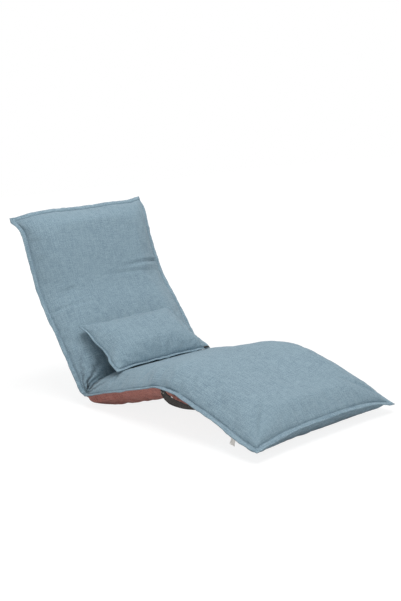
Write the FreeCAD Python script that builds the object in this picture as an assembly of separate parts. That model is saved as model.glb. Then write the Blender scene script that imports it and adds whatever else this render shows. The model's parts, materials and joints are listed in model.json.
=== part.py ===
import FreeCAD, Part
import math
import os

os.makedirs("parts", exist_ok=True)
V = FreeCAD.Vector

# Folding floor chair: four padded sections (head, back, seat, leg) on a steel tube frame
# with ratchet hinges at the neck, the waist and the knee, and a loose lumbar pillow.
# Millimetres. +X runs from the back to the foot end, +Y is the far side, +Z is up, and the
# origin is on the floor under the middle of the chair.
# Every section has its own axes: `along` runs away from the waist and `up` faces the sitter.

# Side profile, measured along the sewn seam
HEAD_LENGTH = 327.0
BACK_LENGTH = 429.0
SEAT_LENGTH = 547.0
LEG_LENGTH = 457.0
HEAD_LEAN = 75.0
BACK_LEAN = 54.3
SEAT_RISE = 12.6

# Cushions
WIDTH = 560.0
CROWN = 62.0
HEAD_CROWN = 56.0
BASE_DEPTH = 44.0
SHOULDER = 36.0
BASE_SHOULDER = 18.0
SHOULDER_SHARE = 0.8
BASE_SHARE = 0.86
DRAW_IN = 5.0
CREASE_CROWN = 40.0
CREASE_BULGE = 44.0
CREASE_ROOM = 5.0
WAIST_ROLL = 4.0
CREASE_END = 80.0
CREASE_END_CROWN = 58.5
END_LENGTH = 80.0
NECK_REACH = 60.0
KNEE_REACH = 80.0
WAIST_REACH = 14.0
HINGE_GAP = 0.6
COVER = 2.6
FLANGE = 12.0
FLANGE_PLY = 1.6
SEAM_GAP = 0.2
FOAM_GAP = 0.4
FLAT_CUT = 0.5

# Steel frame
TUBE_RADIUS = 9.5
TUBE_WALL = 1.5
CROSS_RADIUS = 8.0
RAIL_SPACING = 410.0
FRAME_LIFT = 2.0
HOOP_BEND = 60.0
HOOP_INSET = 62.0
CROSS_INSET = 112.0
BELT_WIDTH = 42.0
BELT_THICKNESS = 1.4
BELT_GAP = 0.3
BELT_PITCH = 68.0
POCKET_GAP = 1.0

# Ratchet hinges
TOOTH_PITCH = 7.5
TOOTH_TIP_RADIUS = 24.0
TOOTH_DEPTH = 2.0
PLATE_RADIUS = 27.0
PLATE_THICKNESS = 2.5
ARM_THICKNESS = 6.0
ARM_HALF_HEIGHT = 9.0
SIDE_GAP = 0.2
TAIL_HALF_HEIGHT = 11.0
TAIL_START = 46.0
TAIL_END = 60.0
ARM_BLOCK_THICKNESS = 12.0
SPIGOT_LENGTH = 28.0
SPIGOT_GAP = 0.2
PIVOT_RADIUS = 4.0
PIN_GAP = 0.05
RIVET_HEAD_RADIUS = 7.0
RIVET_HEAD = 2.4
PAWL_ANGLE = -80.0
PAWL_LIFT = 3.0
PAWL_REACH = 16.0
PAWL_BOSS = 6.0
PAWL_THICKNESS = 5.6
PAWL_CLEARANCE = 0.5
PAWL_NOSE_ANGLE = 28.0
PAWL_NOSE_HEIGHT = 4.0
PAWL_PIN_RADIUS = 2.5
PAWL_HEAD_RADIUS = 4.5
PAWL_HEAD = 1.5
FORK_LOBE = 12.0
SPRING_THICKNESS = 0.6
SPRING_WIDTH = 4.0
SPRING_GAP = 2.6
SPRING_LENGTH = 15.0
HINGE_POCKET = 6.0

# Loose pillow, leaning from the back onto the seat
PILLOW_WIDTH = 408.0
PILLOW_HEIGHT = 292.0
PILLOW_END_LENGTH = 105.0
PILLOW_CROWN = 50.0
PILLOW_BASE = 60.0
PILLOW_DRAW_IN = 9.0
PILLOW_FLANGE = 10.0
PILLOW_ON_BACK = 245.0
PILLOW_ON_SEAT = 220.0
PILLOW_OFF_BACK = 22.0
PILLOW_OFF_SEAT = 12.0
PILLOW_SHIFT = -6.0

# Trim
HANDLE_START = 5.0
HANDLE_SPAN = 172.0
HANDLE_DROP = 33.0
HANDLE_WIDTH = 22.0
HANDLE_THICKNESS = 2.0
LABEL_PLACE = 349.0
LABEL_WIDTH = 20.0
LABEL_LENGTH = 32.0
LABEL_THICKNESS = 0.8
ZIP_LENGTH = 190.0
ZIP_WIDTH = 26.0
ZIP_PROUD = 0.8
ZIP_PLACE = 250.0
SLIDER_LENGTH = 12.0
SLIDER_WIDTH = 9.0
SLIDER_HEIGHT = 3.2
SLIDER_GAP = 0.3
PULL_LENGTH = 24.0
PULL_WIDTH = 6.0
PULL_THICKNESS = 1.6


# Plane geometry: points and directions are (x, z) pairs
def direction(degrees):
    return (math.cos(math.radians(degrees)), math.sin(math.radians(degrees)))


def plus(point, vector, distance=1.0):
    return (point[0] + vector[0] * distance, point[1] + vector[1] * distance)


def unit(vector):
    size = math.hypot(vector[0], vector[1])
    return (vector[0] / size, vector[1] / size)


def back_of(vector):
    return (-vector[0], -vector[1])


def angle_of(vector):
    return math.degrees(math.atan2(vector[1], vector[0]))


def in_section(axes, along, up):
    return plus(plus(axes[0], axes[1], along), axes[2], up)


# A station is one cross-section: its seam point, its up direction, its crown and its depth
def plain_station(axes, along, top, base):
    return (in_section(axes, along, 0.0), axes[2], top, base)


def bend_station(axes, corner, own, other, reach, share, top, base):
    """A station on the soft bend round a corner; at share 0.5 it is the hinge plane."""
    a = plus(corner, own, reach)
    b = plus(corner, other, reach)
    weights = ((1 - share) ** 2, 2 * share * (1 - share), share ** 2)
    point = tuple(weights[0] * p + weights[1] * c + weights[2] * q for p, c, q in zip(a, corner, b))
    run = unit((other[0] * share - own[0] * (1 - share), other[1] * share - own[1] * (1 - share)))
    up = (-run[1], run[0])
    if up[0] * axes[2][0] + up[1] * axes[2][1] < 0:
        up = back_of(up)
    if share == 0.5:
        point = plus(point, run, -HINGE_GAP / 2)
    return (point, up, top, base)


def soft_bend(axes, corner, own, other, reach, top, base):
    """From the hinge plane to where the bend runs out into the straight section."""
    return [bend_station(axes, corner, own, other, reach, s, top, base) for s in (0.5, 0.25, 0.0)]


def crease(axes, other, length):
    """The tight fold at the waist, where both cushions are pinched and roll onto the floor."""
    fold = bend_station(axes, axes[0], axes[1], other, WAIST_REACH, 0.5, CREASE_CROWN, BASE_DEPTH)
    half_turn = math.acos(fold[1][0] * axes[2][0] + fold[1][1] * axes[2][1])
    roll_place = CREASE_BULGE * math.tan(half_turn) + CREASE_ROOM
    return [
        fold,
        plain_station(axes, roll_place, CREASE_BULGE, BASE_DEPTH + WAIST_ROLL),
        plain_station(axes, CREASE_END, CREASE_END_CROWN, BASE_DEPTH),
        plain_station(axes, length * 0.4, CROWN, BASE_DEPTH),
        plain_station(axes, length * 0.65, CROWN, BASE_DEPTH),
    ]


# The closed ends: shares of the end's length, measured from the seam, of the crown and of the depth
END_SHAPE = ((1.0, 0.99, 1.0), (0.52, 0.92, 1.0), (0.21, 0.72, 0.98), (0.06, 0.42, 0.9), (0.005, 0.12, 0.6))
PILLOW_END = ((1.0, 0.98, 0.98), (0.57, 0.86, 0.86), (0.27, 0.62, 0.62), (0.09, 0.32, 0.32), (0.004, 0.1, 0.1))


def closed_end(axes, length, top, base, shape=END_SHAPE, reach=END_LENGTH, flange=FLANGE):
    stations = [plain_station(axes, length - d * reach, top * t, base * b) for d, t, b in shape]
    return stations + [plain_station(axes, length + flange, 0.0, 0.0)]


def profile(waist_height, leg_drop):
    """Axes and stations of the four sections for one height and one leg angle."""
    waist = (0.0, waist_height)
    neck = plus(waist, direction(180.0 - BACK_LEAN), BACK_LENGTH)
    knee = plus(waist, direction(SEAT_RISE), SEAT_LENGTH)
    head = (neck, direction(180.0 - HEAD_LEAN), direction(90.0 - HEAD_LEAN))
    back = (waist, direction(180.0 - BACK_LEAN), direction(90.0 - BACK_LEAN))
    seat = (waist, direction(SEAT_RISE), direction(90.0 + SEAT_RISE))
    leg = (knee, direction(-leg_drop), direction(90.0 - leg_drop))
    head_stations = soft_bend(head, neck, head[1], back_of(back[1]), NECK_REACH, HEAD_CROWN, BASE_DEPTH)
    head_stations += [plain_station(head, HEAD_LENGTH * 0.5, HEAD_CROWN, BASE_DEPTH)]
    head_stations += closed_end(head, HEAD_LENGTH, HEAD_CROWN, BASE_DEPTH)
    back_top = soft_bend(back, neck, back_of(back[1]), head[1], NECK_REACH, HEAD_CROWN, BASE_DEPTH)
    seat_top = soft_bend(seat, knee, back_of(seat[1]), leg[1], KNEE_REACH, CROWN, BASE_DEPTH)
    leg_stations = soft_bend(leg, knee, leg[1], back_of(seat[1]), KNEE_REACH, CROWN, BASE_DEPTH)
    leg_stations += [plain_station(leg, LEG_LENGTH * 0.5, CROWN, BASE_DEPTH)]
    leg_stations += closed_end(leg, LEG_LENGTH, CROWN, BASE_DEPTH)
    axes = {"head": head, "back": back, "seat": seat, "leg": leg}
    stations = {
        "head": head_stations,
        "back": crease(back, seat[1], BACK_LENGTH) + back_top[::-1],
        "seat": crease(seat, back[1], SEAT_LENGTH) + seat_top[::-1],
        "leg": leg_stations,
    }
    return axes, stations


def lift_needed(stations):
    """How far up these stations have to go to press FLAT_CUT into the floor."""
    return -min(point[1] - up[1] * base for point, up, top, base in stations) - FLAT_CUT


# The chair stands on the roll at its waist and on the end of the leg section
waist_height = BASE_DEPTH
leg_drop = SEAT_RISE
for _ in range(30):
    section_axes, section_stations = profile(waist_height, leg_drop)
    waist_height += lift_needed(section_stations["seat"] + section_stations["back"])
    leg_drop -= math.degrees(lift_needed(section_stations["leg"]) / LEG_LENGTH)
section_axes, section_stations = profile(waist_height, leg_drop)
head_axes = section_axes["head"]
back_axes = section_axes["back"]
seat_axes = section_axes["seat"]
leg_axes = section_axes["leg"]


# Cross-section outlines in (y, height): runs of two points are lines, of three are arcs
def dome(half, foot, rise, shoulder, share):
    side = foot + (rise - foot) * share
    belly = foot + (rise - foot) * 0.52
    left = [(-half, foot), (-half + shoulder * 0.2, belly), (-half + shoulder, side)]
    right = [(half - shoulder, side), (half - shoulder * 0.2, belly), (half, foot)]
    return [left, [left[2], (0.0, rise), right[0]], right]


def top_outline(half, rise, flange):
    tip = half + flange
    ply = FLANGE_PLY
    runs = [[(-tip, -ply), (-tip, ply)], [(-tip, ply), (-half, ply)]]
    runs += dome(half, ply, rise, SHOULDER, SHOULDER_SHARE)
    return runs + [[(half, ply), (tip, ply)], [(tip, ply), (tip, -ply)], [(tip, -ply), (-tip, -ply)]]


def base_outline(half, depth):
    mouth = -FLANGE_PLY - SEAM_GAP
    return dome(half, mouth, -depth, BASE_SHOULDER, BASE_SHARE) + [[(half, mouth), (-half, mouth)]]


def hollow_outline(half, mouth, foot, rise, shoulder, share):
    runs = [[(-half, mouth), (-half, foot)]] + dome(half, foot, rise, shoulder, share)
    return runs + [[(half, foot), (half, mouth)], [(half, mouth), (-half, mouth)]]


def foam_outline(half, top, base):
    upper = dome(half, 0.0, top, SHOULDER, SHOULDER_SHARE)
    lower = dome(half, 0.0, -base, BASE_SHOULDER, BASE_SHARE)
    return upper + [run[::-1] for run in lower[::-1]]


def wire_at(runs, station):
    point, up = station[0], station[1]

    def at(p):
        return V(point[0] + up[0] * p[1], p[0], point[1] + up[1] * p[1])

    edges = []
    for run in runs:
        curve = Part.Arc(*[at(p) for p in run]) if len(run) == 3 else Part.LineSegment(at(run[0]), at(run[1]))
        edges.append(curve.toShape())
    return Part.Wire(edges)


def loft(wires):
    return Part.makeLoft(wires, True, True)


def cushion(stations, width, draw_in, flange):
    """Top cover with its flange, base cover and the filling, all through the same stations."""
    middle = (len(stations) - 1) / 2.0
    tops, bases, top_hollows, base_hollows, fillings = [], [], [], [], []
    for index, station in enumerate(stations):
        top = max(station[2], FLANGE_PLY + 0.6)
        base = max(station[3], FLANGE_PLY + 0.6)
        half = width / 2 - draw_in * (1 - ((index - middle) / middle) ** 2)
        tops.append(wire_at(top_outline(half, top, flange), station))
        if station[3] > 0:
            bases.append(wire_at(base_outline(half, base), station))
        if top < 5 * COVER:
            continue
        inner = half - COVER
        mouth = -FLANGE_PLY - SEAM_GAP
        top_hollows.append(wire_at(
            hollow_outline(inner, mouth, FLANGE_PLY, top - COVER, SHOULDER, SHOULDER_SHARE), station))
        base_hollows.append(wire_at(
            hollow_outline(inner, 0.0, mouth, COVER - base, BASE_SHOULDER, BASE_SHARE), station))
        skin = COVER + FOAM_GAP
        fillings.append(wire_at(foam_outline(half - skin, top - skin, base - skin), station))
    return loft(tops).cut(loft(top_hollows)), loft(bases).cut(loft(base_hollows)), loft(fillings)


# Simple solids in a section's own plane: x along, y across, z up
def disc(x, z, radius, y, thickness):
    return Part.makeCylinder(radius, thickness, V(x, y, z), V(0, 1, 0))


def box(x0, x1, y0, y1, z0, z1):
    return Part.makeBox(x1 - x0, y1 - y0, z1 - z0, V(x0, y0, z0))


def prism(points, y, thickness):
    corners = [V(p[0], y, p[1]) for p in points]
    return Part.Face(Part.makePolygon(corners + corners[:1])).extrude(V(0, thickness, 0))


def rod(radius, start, end):
    """A round bar between two points of a section's plane, along x."""
    return Part.makeCylinder(radius, end - start, V(start, 0, 0), V(1, 0, 0))


def placed(shape, origin, along, y=0.0):
    """Turn a shape's x to `along` and move it to a point of the side profile."""
    copy = shape.copy()
    copy.rotate(V(0, 0, 0), V(0, 1, 0), -angle_of(along))
    copy.translate(V(origin[0], y, origin[1]))
    return copy


def both_sides(shape):
    """Two copies, one on each rail."""
    pair = []
    for y in (-RAIL_SPACING / 2, RAIL_SPACING / 2):
        copy = shape.copy()
        copy.translate(V(0, y, 0))
        pair.append(copy)
    return pair


# Hinge pivots lie just above the seam in the hinge planes
def pivot_of(station):
    return plus(station[0], station[1], FRAME_LIFT)


def middle_of(a, b):
    return ((a[0] + b[0]) / 2, (a[1] + b[1]) / 2)


neck_pivot = middle_of(pivot_of(section_stations["head"][0]), pivot_of(section_stations["back"][-1]))
waist_pivot = middle_of(pivot_of(section_stations["back"][0]), pivot_of(section_stations["seat"][0]))
knee_pivot = middle_of(pivot_of(section_stations["seat"][-1]), pivot_of(section_stations["leg"][0]))

back_line = unit((neck_pivot[0] - waist_pivot[0], neck_pivot[1] - waist_pivot[1]))
seat_line = unit((knee_pivot[0] - waist_pivot[0], knee_pivot[1] - waist_pivot[1]))
back_span = math.dist(waist_pivot, neck_pivot)
seat_span = math.dist(waist_pivot, knee_pivot)

# Each hinge: pivot, direction of the fixed fork, direction of the moving arm, and the limits
# in degrees, counted clockwise seen from the near side at the waist and the knee and
# anticlockwise at the neck
hinges = {
    "neck": (neck_pivot, back_of(back_line), head_axes[1], -60.0, 22.5, -1),
    "waist": (waist_pivot, seat_line, back_line, -67.5, 82.5, 1),
    "knee": (knee_pivot, back_of(seat_line), leg_axes[1], -30.0, 120.0, 1),
}

spigot_radius = TUBE_RADIUS - TUBE_WALL - SPIGOT_GAP
cheek = ARM_THICKNESS / 2 + SIDE_GAP
cheek_out = cheek + PLATE_THICKNESS
tooth_root_radius = TOOTH_TIP_RADIUS - TOOTH_DEPTH
pawl_radial = direction(PAWL_ANGLE)
pawl_across = (-pawl_radial[1], pawl_radial[0])


def by_pawl(outward, across):
    """A point given from the pivot: outward along the pawl's nose line, and across it."""
    return plus((pawl_radial[0] * outward, pawl_radial[1] * outward), pawl_across, across)


pawl_pin = by_pawl(TOOTH_TIP_RADIUS + PAWL_LIFT, PAWL_REACH)


def make_fork():
    """Two cheek plates on a heel block whose spigot plugs the fixed rail."""
    web = [
        (0.0, 0.0),
        (0.0, -PLATE_RADIUS),
        (pawl_pin[0], pawl_pin[1] - FORK_LOBE),
        (pawl_pin[0] + FORK_LOBE, pawl_pin[1]),
        (TAIL_START, -TAIL_HALF_HEIGHT),
    ]
    fork = box(TAIL_START, TAIL_END, -cheek_out, cheek_out, -TAIL_HALF_HEIGHT, TAIL_HALF_HEIGHT)
    for y in (-cheek_out, cheek):
        fork = fork.fuse([
            disc(0, 0, PLATE_RADIUS, y, PLATE_THICKNESS),
            disc(pawl_pin[0], pawl_pin[1], FORK_LOBE, y, PLATE_THICKNESS),
            prism(web, y, PLATE_THICKNESS),
            box(0, TAIL_END, y, y + PLATE_THICKNESS, -TAIL_HALF_HEIGHT, TAIL_HALF_HEIGHT),
        ])
    fork = fork.fuse(rod(spigot_radius, TAIL_END, TAIL_END + SPIGOT_LENGTH))
    width = 2 * cheek_out
    fork = fork.cut(disc(0, 0, PIVOT_RADIUS + PIN_GAP, -cheek_out, width))
    fork = fork.cut(disc(pawl_pin[0], pawl_pin[1], PAWL_PIN_RADIUS + PIN_GAP, -cheek_out, width))
    return fork.removeSplitter()


def make_arm(rest_angle, low, high, sense):
    """The moving arm: a toothed hub, a flat shank and a block whose spigot plugs its rail."""
    half = ARM_THICKNESS / 2
    first = int(round(min(-sense * low, -sense * high) / TOOTH_PITCH)) - 1
    last = int(round(max(-sense * low, -sense * high) / TOOTH_PITCH)) + 1
    teeth = [(0.0, 0.0)]
    for step in range(first, last + 1):
        gap = PAWL_ANGLE - rest_angle - step * TOOTH_PITCH
        teeth.append(plus((0, 0), direction(gap), tooth_root_radius))
        if step < last:
            teeth.append(plus((0, 0), direction(gap - TOOTH_PITCH / 2), TOOTH_TIP_RADIUS))
    arm = disc(0, 0, tooth_root_radius, -half, ARM_THICKNESS)
    arm = arm.fuse([
        prism(teeth, -half, ARM_THICKNESS),
        box(0, TAIL_START, -half, half, -ARM_HALF_HEIGHT, ARM_HALF_HEIGHT),
        box(TAIL_START, TAIL_END, -ARM_BLOCK_THICKNESS / 2, ARM_BLOCK_THICKNESS / 2,
            -ARM_HALF_HEIGHT, ARM_HALF_HEIGHT),
        rod(spigot_radius, TAIL_END, TAIL_END + SPIGOT_LENGTH),
    ])
    return arm.cut(disc(0, 0, PIVOT_RADIUS + PIN_GAP, -half, ARM_THICKNESS)).removeSplitter()


def make_pawl():
    """Drawn just clear of the tooth tips; it drops into a gap by turning towards the hub."""
    nose = TOOTH_TIP_RADIUS + PAWL_CLEARANCE
    flank = PAWL_NOSE_HEIGHT * math.tan(math.radians(PAWL_NOSE_ANGLE))
    pin_out = TOOTH_TIP_RADIUS + PAWL_LIFT
    points = [
        by_pawl(nose, 0),
        by_pawl(nose + PAWL_NOSE_HEIGHT, flank),
        by_pawl(pin_out - PAWL_BOSS + 0.5, PAWL_REACH),
        by_pawl(pin_out + PAWL_BOSS - 0.5, PAWL_REACH),
        by_pawl(nose + 2 * PAWL_NOSE_HEIGHT, -flank),
        by_pawl(nose + PAWL_NOSE_HEIGHT, -flank),
    ]
    half = PAWL_THICKNESS / 2
    pawl = prism(points, -half, PAWL_THICKNESS)
    pawl = pawl.fuse(disc(pawl_pin[0], pawl_pin[1], PAWL_BOSS, -half, PAWL_THICKNESS))
    return pawl.cut(disc(pawl_pin[0], pawl_pin[1], PAWL_PIN_RADIUS + PIN_GAP, -half, PAWL_THICKNESS))


def make_rivet(x, z, radius, head_radius, head):
    length = 2 * cheek_out
    shank = disc(x, z, radius, -cheek_out, length)
    heads = [disc(x, z, head_radius, -cheek_out - head, head), disc(x, z, head_radius, cheek_out, head)]
    return shank.fuse(heads)


def make_spring():
    """A leaf spring across the cheeks, just outside the path of the pawl's back."""
    start = by_pawl(TOOTH_TIP_RADIUS + 2 * PAWL_NOSE_HEIGHT + SPRING_GAP, -2.0)
    outer = plus(start, pawl_radial, SPRING_THICKNESS)
    end = plus(start, pawl_across, SPRING_LENGTH)
    points = [start, end, plus(end, pawl_radial, SPRING_THICKNESS), outer]
    leaf = prism(points, -SPRING_WIDTH / 2, SPRING_WIDTH)
    foot = plus(start, pawl_across, SPRING_LENGTH - 2.0)
    post = disc(foot[0] + pawl_radial[0], foot[1] + pawl_radial[1], 1.6, -cheek, 2 * cheek)
    return leaf.fuse(post)


parts = {}
fork = make_fork()
pawl = make_pawl()
spring = make_spring()
pivot_rivet = make_rivet(0, 0, PIVOT_RADIUS, RIVET_HEAD_RADIUS, RIVET_HEAD)
pawl_rivet = make_rivet(pawl_pin[0], pawl_pin[1], PAWL_PIN_RADIUS, PAWL_HEAD_RADIUS, PAWL_HEAD)
for name, (pivot, fixed, moving, low, high, sense) in hinges.items():
    rest_angle = (angle_of(moving) - angle_of(fixed)) % 360
    arm = make_arm(rest_angle, low, high, sense)
    pieces = {
        "fork": placed(fork, pivot, fixed),
        "toothed_arm": placed(arm, pivot, moving),
        "pawl": placed(pawl, pivot, fixed),
    }
    for piece, shape in pieces.items():
        near, far = both_sides(shape)
        parts[name + "_" + piece + "_near"] = near
        parts[name + "_" + piece + "_far"] = far
    parts[name + "_pawl_springs"] = Part.makeCompound(both_sides(placed(spring, pivot, fixed)))
    parts[name + "_pivot_rivets"] = Part.makeCompound(both_sides(placed(pivot_rivet, pivot, fixed)))
    parts[name + "_pawl_rivets"] = Part.makeCompound(both_sides(placed(pawl_rivet, pivot, fixed)))


# Side rails run between two hinges, with round cross tubes saddled against them
def tube(radius, start, end):
    return rod(radius, start, end).cut(rod(radius - TUBE_WALL, start, end))


def cross_tube(x):
    half = RAIL_SPACING / 2
    bar = disc(x, 0, CROSS_RADIUS, -half, 2 * half).cut(disc(x, 0, CROSS_RADIUS - TUBE_WALL, -half, 2 * half))
    for y in (-half, half):
        rail = rod(TUBE_RADIUS, x - 2 * CROSS_RADIUS, x + 2 * CROSS_RADIUS)
        rail.translate(V(0, y, 0))
        bar = bar.cut(rail)
    return bar


def belt(x):
    """An elastic belt sewn in a loop round both rails."""
    def racetrack(radius):
        half = RAIL_SPACING / 2
        shape = box(x, x + BELT_WIDTH, -half, half, -radius, radius)
        for y in (-half, half):
            end = rod(radius, x, x + BELT_WIDTH)
            end.translate(V(0, y, 0))
            shape = shape.fuse(end)
        return shape

    inner = TUBE_RADIUS + BELT_GAP
    return racetrack(inner + BELT_THICKNESS).cut(racetrack(inner)).removeSplitter()


def hoop(reach):
    """A bent tube: out along one rail, across, and back along the other."""
    half = RAIL_SPACING / 2
    inset = HOOP_BEND * (1 - math.cos(math.radians(45)))
    start_near, bend_near = V(TAIL_END, -half, 0), V(reach - HOOP_BEND, -half, 0)
    mid_near = V(reach - inset, -half + inset, 0)
    side_near, side_far = V(reach, -half + HOOP_BEND, 0), V(reach, half - HOOP_BEND, 0)
    mid_far = V(reach - inset, half - inset, 0)
    bend_far, start_far = V(reach - HOOP_BEND, half, 0), V(TAIL_END, half, 0)
    path = Part.Wire([
        Part.LineSegment(start_near, bend_near).toShape(),
        Part.Arc(bend_near, mid_near, side_near).toShape(),
        Part.LineSegment(side_near, side_far).toShape(),
        Part.Arc(side_far, mid_far, bend_far).toShape(),
        Part.LineSegment(bend_far, start_far).toShape(),
    ])
    walls = []
    for radius in (TUBE_RADIUS, TUBE_RADIUS - TUBE_WALL):
        ring = Part.Wire(Part.makeCircle(radius, start_near, V(1, 0, 0)))
        walls.append(path.makePipeShell([ring], True, True))
    return walls[0].cut(walls[1])


def belts_between(start, end):
    """As many belts as fit at their pitch, centred between two places."""
    count = max(1, int((end - start - BELT_WIDTH) // BELT_PITCH) + 1)
    first = (start + end - (count - 1) * BELT_PITCH - BELT_WIDTH) / 2
    return [belt(first + i * BELT_PITCH) for i in range(count)]


frames = {"back": (waist_pivot, back_line, back_span), "seat": (waist_pivot, seat_line, seat_span)}
for name, (pivot, line, span) in frames.items():
    rail = placed(tube(TUBE_RADIUS, TAIL_END, span - TAIL_END), pivot, line)
    parts[name + "_rail_near"], parts[name + "_rail_far"] = both_sides(rail)
    crosses = [placed(cross_tube(x), pivot, line) for x in (CROSS_INSET, span - CROSS_INSET)]
    parts[name + "_cross_tubes"] = Part.makeCompound(crosses)
    belts = belts_between(CROSS_INSET + 2 * CROSS_RADIUS, span - CROSS_INSET - 2 * CROSS_RADIUS)
    parts[name + "_elastic_belts"] = Part.makeCompound([placed(b, pivot, line) for b in belts])

hoops = {
    "head": (neck_pivot, head_axes[1], HEAD_LENGTH - HOOP_INSET),
    "leg": (knee_pivot, leg_axes[1], LEG_LENGTH - HOOP_INSET),
}
for name, (pivot, line, reach) in hoops.items():
    parts[name + "_hoop"] = placed(hoop(reach), pivot, line)
    belts = belts_between(TAIL_END + 2 * CROSS_RADIUS, reach - HOOP_BEND)
    parts[name + "_elastic_belts"] = Part.makeCompound([placed(b, pivot, line) for b in belts])


# Cushions, with a pocket in the foam for the frame and round each hinge
def frame_pocket(end):
    half = RAIL_SPACING / 2 + TUBE_RADIUS + BELT_GAP + BELT_THICKNESS + POCKET_GAP
    deep = TUBE_RADIUS + BELT_GAP + BELT_THICKNESS + POCKET_GAP
    return box(-TAIL_END, end, -half, half, -deep, deep)


def hinge_pockets(pivot, fixed):
    reach = math.hypot(*pawl_pin) + FORK_LOBE + POCKET_GAP
    half = cheek_out + RIVET_HEAD + POCKET_GAP
    pocket = disc(0, 0, reach, -half, 2 * half)
    tall = TAIL_HALF_HEIGHT + HINGE_POCKET
    pocket = pocket.fuse(box(0, TAIL_END + POCKET_GAP, -half, half, -tall, tall))
    return both_sides(placed(pocket, pivot, fixed))


pockets = {
    "head": [placed(frame_pocket(hoops["head"][2] + TUBE_RADIUS + POCKET_GAP), neck_pivot, head_axes[1])],
    "back": [placed(frame_pocket(back_span + TAIL_END), waist_pivot, back_line)],
    "seat": [placed(frame_pocket(seat_span + TAIL_END), waist_pivot, seat_line)],
    "leg": [placed(frame_pocket(hoops["leg"][2] + TUBE_RADIUS + POCKET_GAP), knee_pivot, leg_axes[1])],
}
hinge_ends = {"neck": ("head", "back"), "waist": ("back", "seat"), "knee": ("seat", "leg")}
for name, sections in hinge_ends.items():
    for section in sections:
        pockets[section] += hinge_pockets(hinges[name][0], hinges[name][1])

spread = HEAD_LENGTH + BACK_LENGTH + SEAT_LENGTH + LEG_LENGTH
floor = Part.makeBox(2 * spread, 2 * spread, spread, V(-spread, -spread, -spread))
for name, stations in section_stations.items():
    top_cover, base_cover, foam = cushion(stations, WIDTH, DRAW_IN, FLANGE)
    parts[name + "_top_cover"] = top_cover
    parts[name + "_base_cover"] = base_cover.cut(floor)
    parts[name + "_foam"] = foam.cut(pockets[name])

# The pillow spans the corner between the back and the seat
pillow_top = in_section(back_axes, PILLOW_ON_BACK, CROWN + PILLOW_OFF_BACK)
pillow_foot = in_section(seat_axes, PILLOW_ON_SEAT, CROWN + PILLOW_OFF_SEAT)
pillow_run = unit((pillow_top[0] - pillow_foot[0], pillow_top[1] - pillow_foot[1]))
pillow_up = (pillow_run[1], -pillow_run[0])
pillow_head = plus(pillow_foot, pillow_run, PILLOW_HEIGHT)
pillow_stations = []
for axes in ((pillow_head, back_of(pillow_run), pillow_up), (pillow_foot, pillow_run, pillow_up)):
    pillow_stations = pillow_stations[::-1] + closed_end(
        axes, PILLOW_HEIGHT, PILLOW_CROWN, PILLOW_BASE, PILLOW_END, PILLOW_END_LENGTH, PILLOW_FLANGE)
pillow_pieces = cushion(pillow_stations, PILLOW_WIDTH, PILLOW_DRAW_IN, PILLOW_FLANGE)
for name, shape in zip(("pillow_front_cover", "pillow_rear_cover", "pillow_filling"), pillow_pieces):
    shape.translate(V(0, PILLOW_SHIFT, 0))
    parts[name] = shape


# Trim: carry handle and label under the near flange of the leg section
def under_flange(shape, y):
    """Keep what hangs below the leg section's flange."""
    runs = [(y - 20, -FLANGE_PLY), (y - 20, 60), (y + 20, 60), (y + 20, -FLANGE_PLY)]
    outline = [[runs[i], runs[(i + 1) % 4]] for i in range(4)]
    return shape.cut(loft([wire_at(outline, s) for s in section_stations["leg"]]))


def arc_face(y, outer, inner):
    def at(p):
        spot = in_section(leg_axes, p[0], p[1])
        return V(spot[0], y, spot[1])

    edges = [
        Part.Arc(*[at(p) for p in outer]).toShape(),
        Part.LineSegment(at(outer[2]), at(inner[2])).toShape(),
        Part.Arc(*[at(p) for p in inner[::-1]]).toShape(),
        Part.LineSegment(at(inner[0]), at(outer[0])).toShape(),
    ]
    return Part.Face(Part.Wire(edges))


trim_y = -WIDTH / 2 - FLANGE / 2
handle_end = HANDLE_START + HANDLE_SPAN
handle_middle = HANDLE_START + HANDLE_SPAN * 0.45
handle_face = arc_face(
    trim_y - HANDLE_THICKNESS / 2,
    [(HANDLE_START, 0.0), (handle_middle, -HANDLE_DROP), (handle_end, 0.0)],
    [(HANDLE_START + HANDLE_WIDTH, 0.0), (handle_middle, HANDLE_WIDTH - HANDLE_DROP),
     (handle_end - HANDLE_WIDTH, 0.0)],
)
parts["carry_handle"] = under_flange(handle_face.extrude(V(0, HANDLE_THICKNESS, 0)), trim_y)
label = box(LABEL_PLACE, LABEL_PLACE + LABEL_WIDTH, -LABEL_THICKNESS / 2, LABEL_THICKNESS / 2,
            -LABEL_LENGTH - FLANGE_PLY, -FLANGE_PLY)
parts["care_label"] = placed(label, leg_axes[0], leg_axes[1], trim_y)

# Zip across the seat's base, and its slider
zip_depth = BASE_DEPTH + ZIP_PROUD
zip_strip = placed(
    box(ZIP_PLACE - ZIP_WIDTH / 2, ZIP_PLACE + ZIP_WIDTH / 2, -ZIP_LENGTH / 2, ZIP_LENGTH / 2,
        -zip_depth, COVER - BASE_DEPTH), seat_axes[0], seat_axes[1])
parts["seat_base_cover"] = parts["seat_base_cover"].cut(zip_strip)
parts["zip_chain"] = zip_strip
slider_top = -zip_depth - SLIDER_GAP
slider_y = -ZIP_LENGTH / 2 + SLIDER_LENGTH / 2
slider = box(ZIP_PLACE - SLIDER_WIDTH / 2, ZIP_PLACE + SLIDER_WIDTH / 2,
             slider_y, slider_y + SLIDER_LENGTH, slider_top - SLIDER_HEIGHT, slider_top)
pull = box(ZIP_PLACE - PULL_WIDTH / 2, ZIP_PLACE + PULL_WIDTH / 2,
           slider_y + SLIDER_LENGTH / 2, slider_y + SLIDER_LENGTH / 2 + PULL_LENGTH,
           slider_top - SLIDER_HEIGHT - PULL_THICKNESS, slider_top - SLIDER_HEIGHT)
parts["zip_slider"] = placed(slider.fuse(pull).removeSplitter(), seat_axes[0], seat_axes[1])

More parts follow.
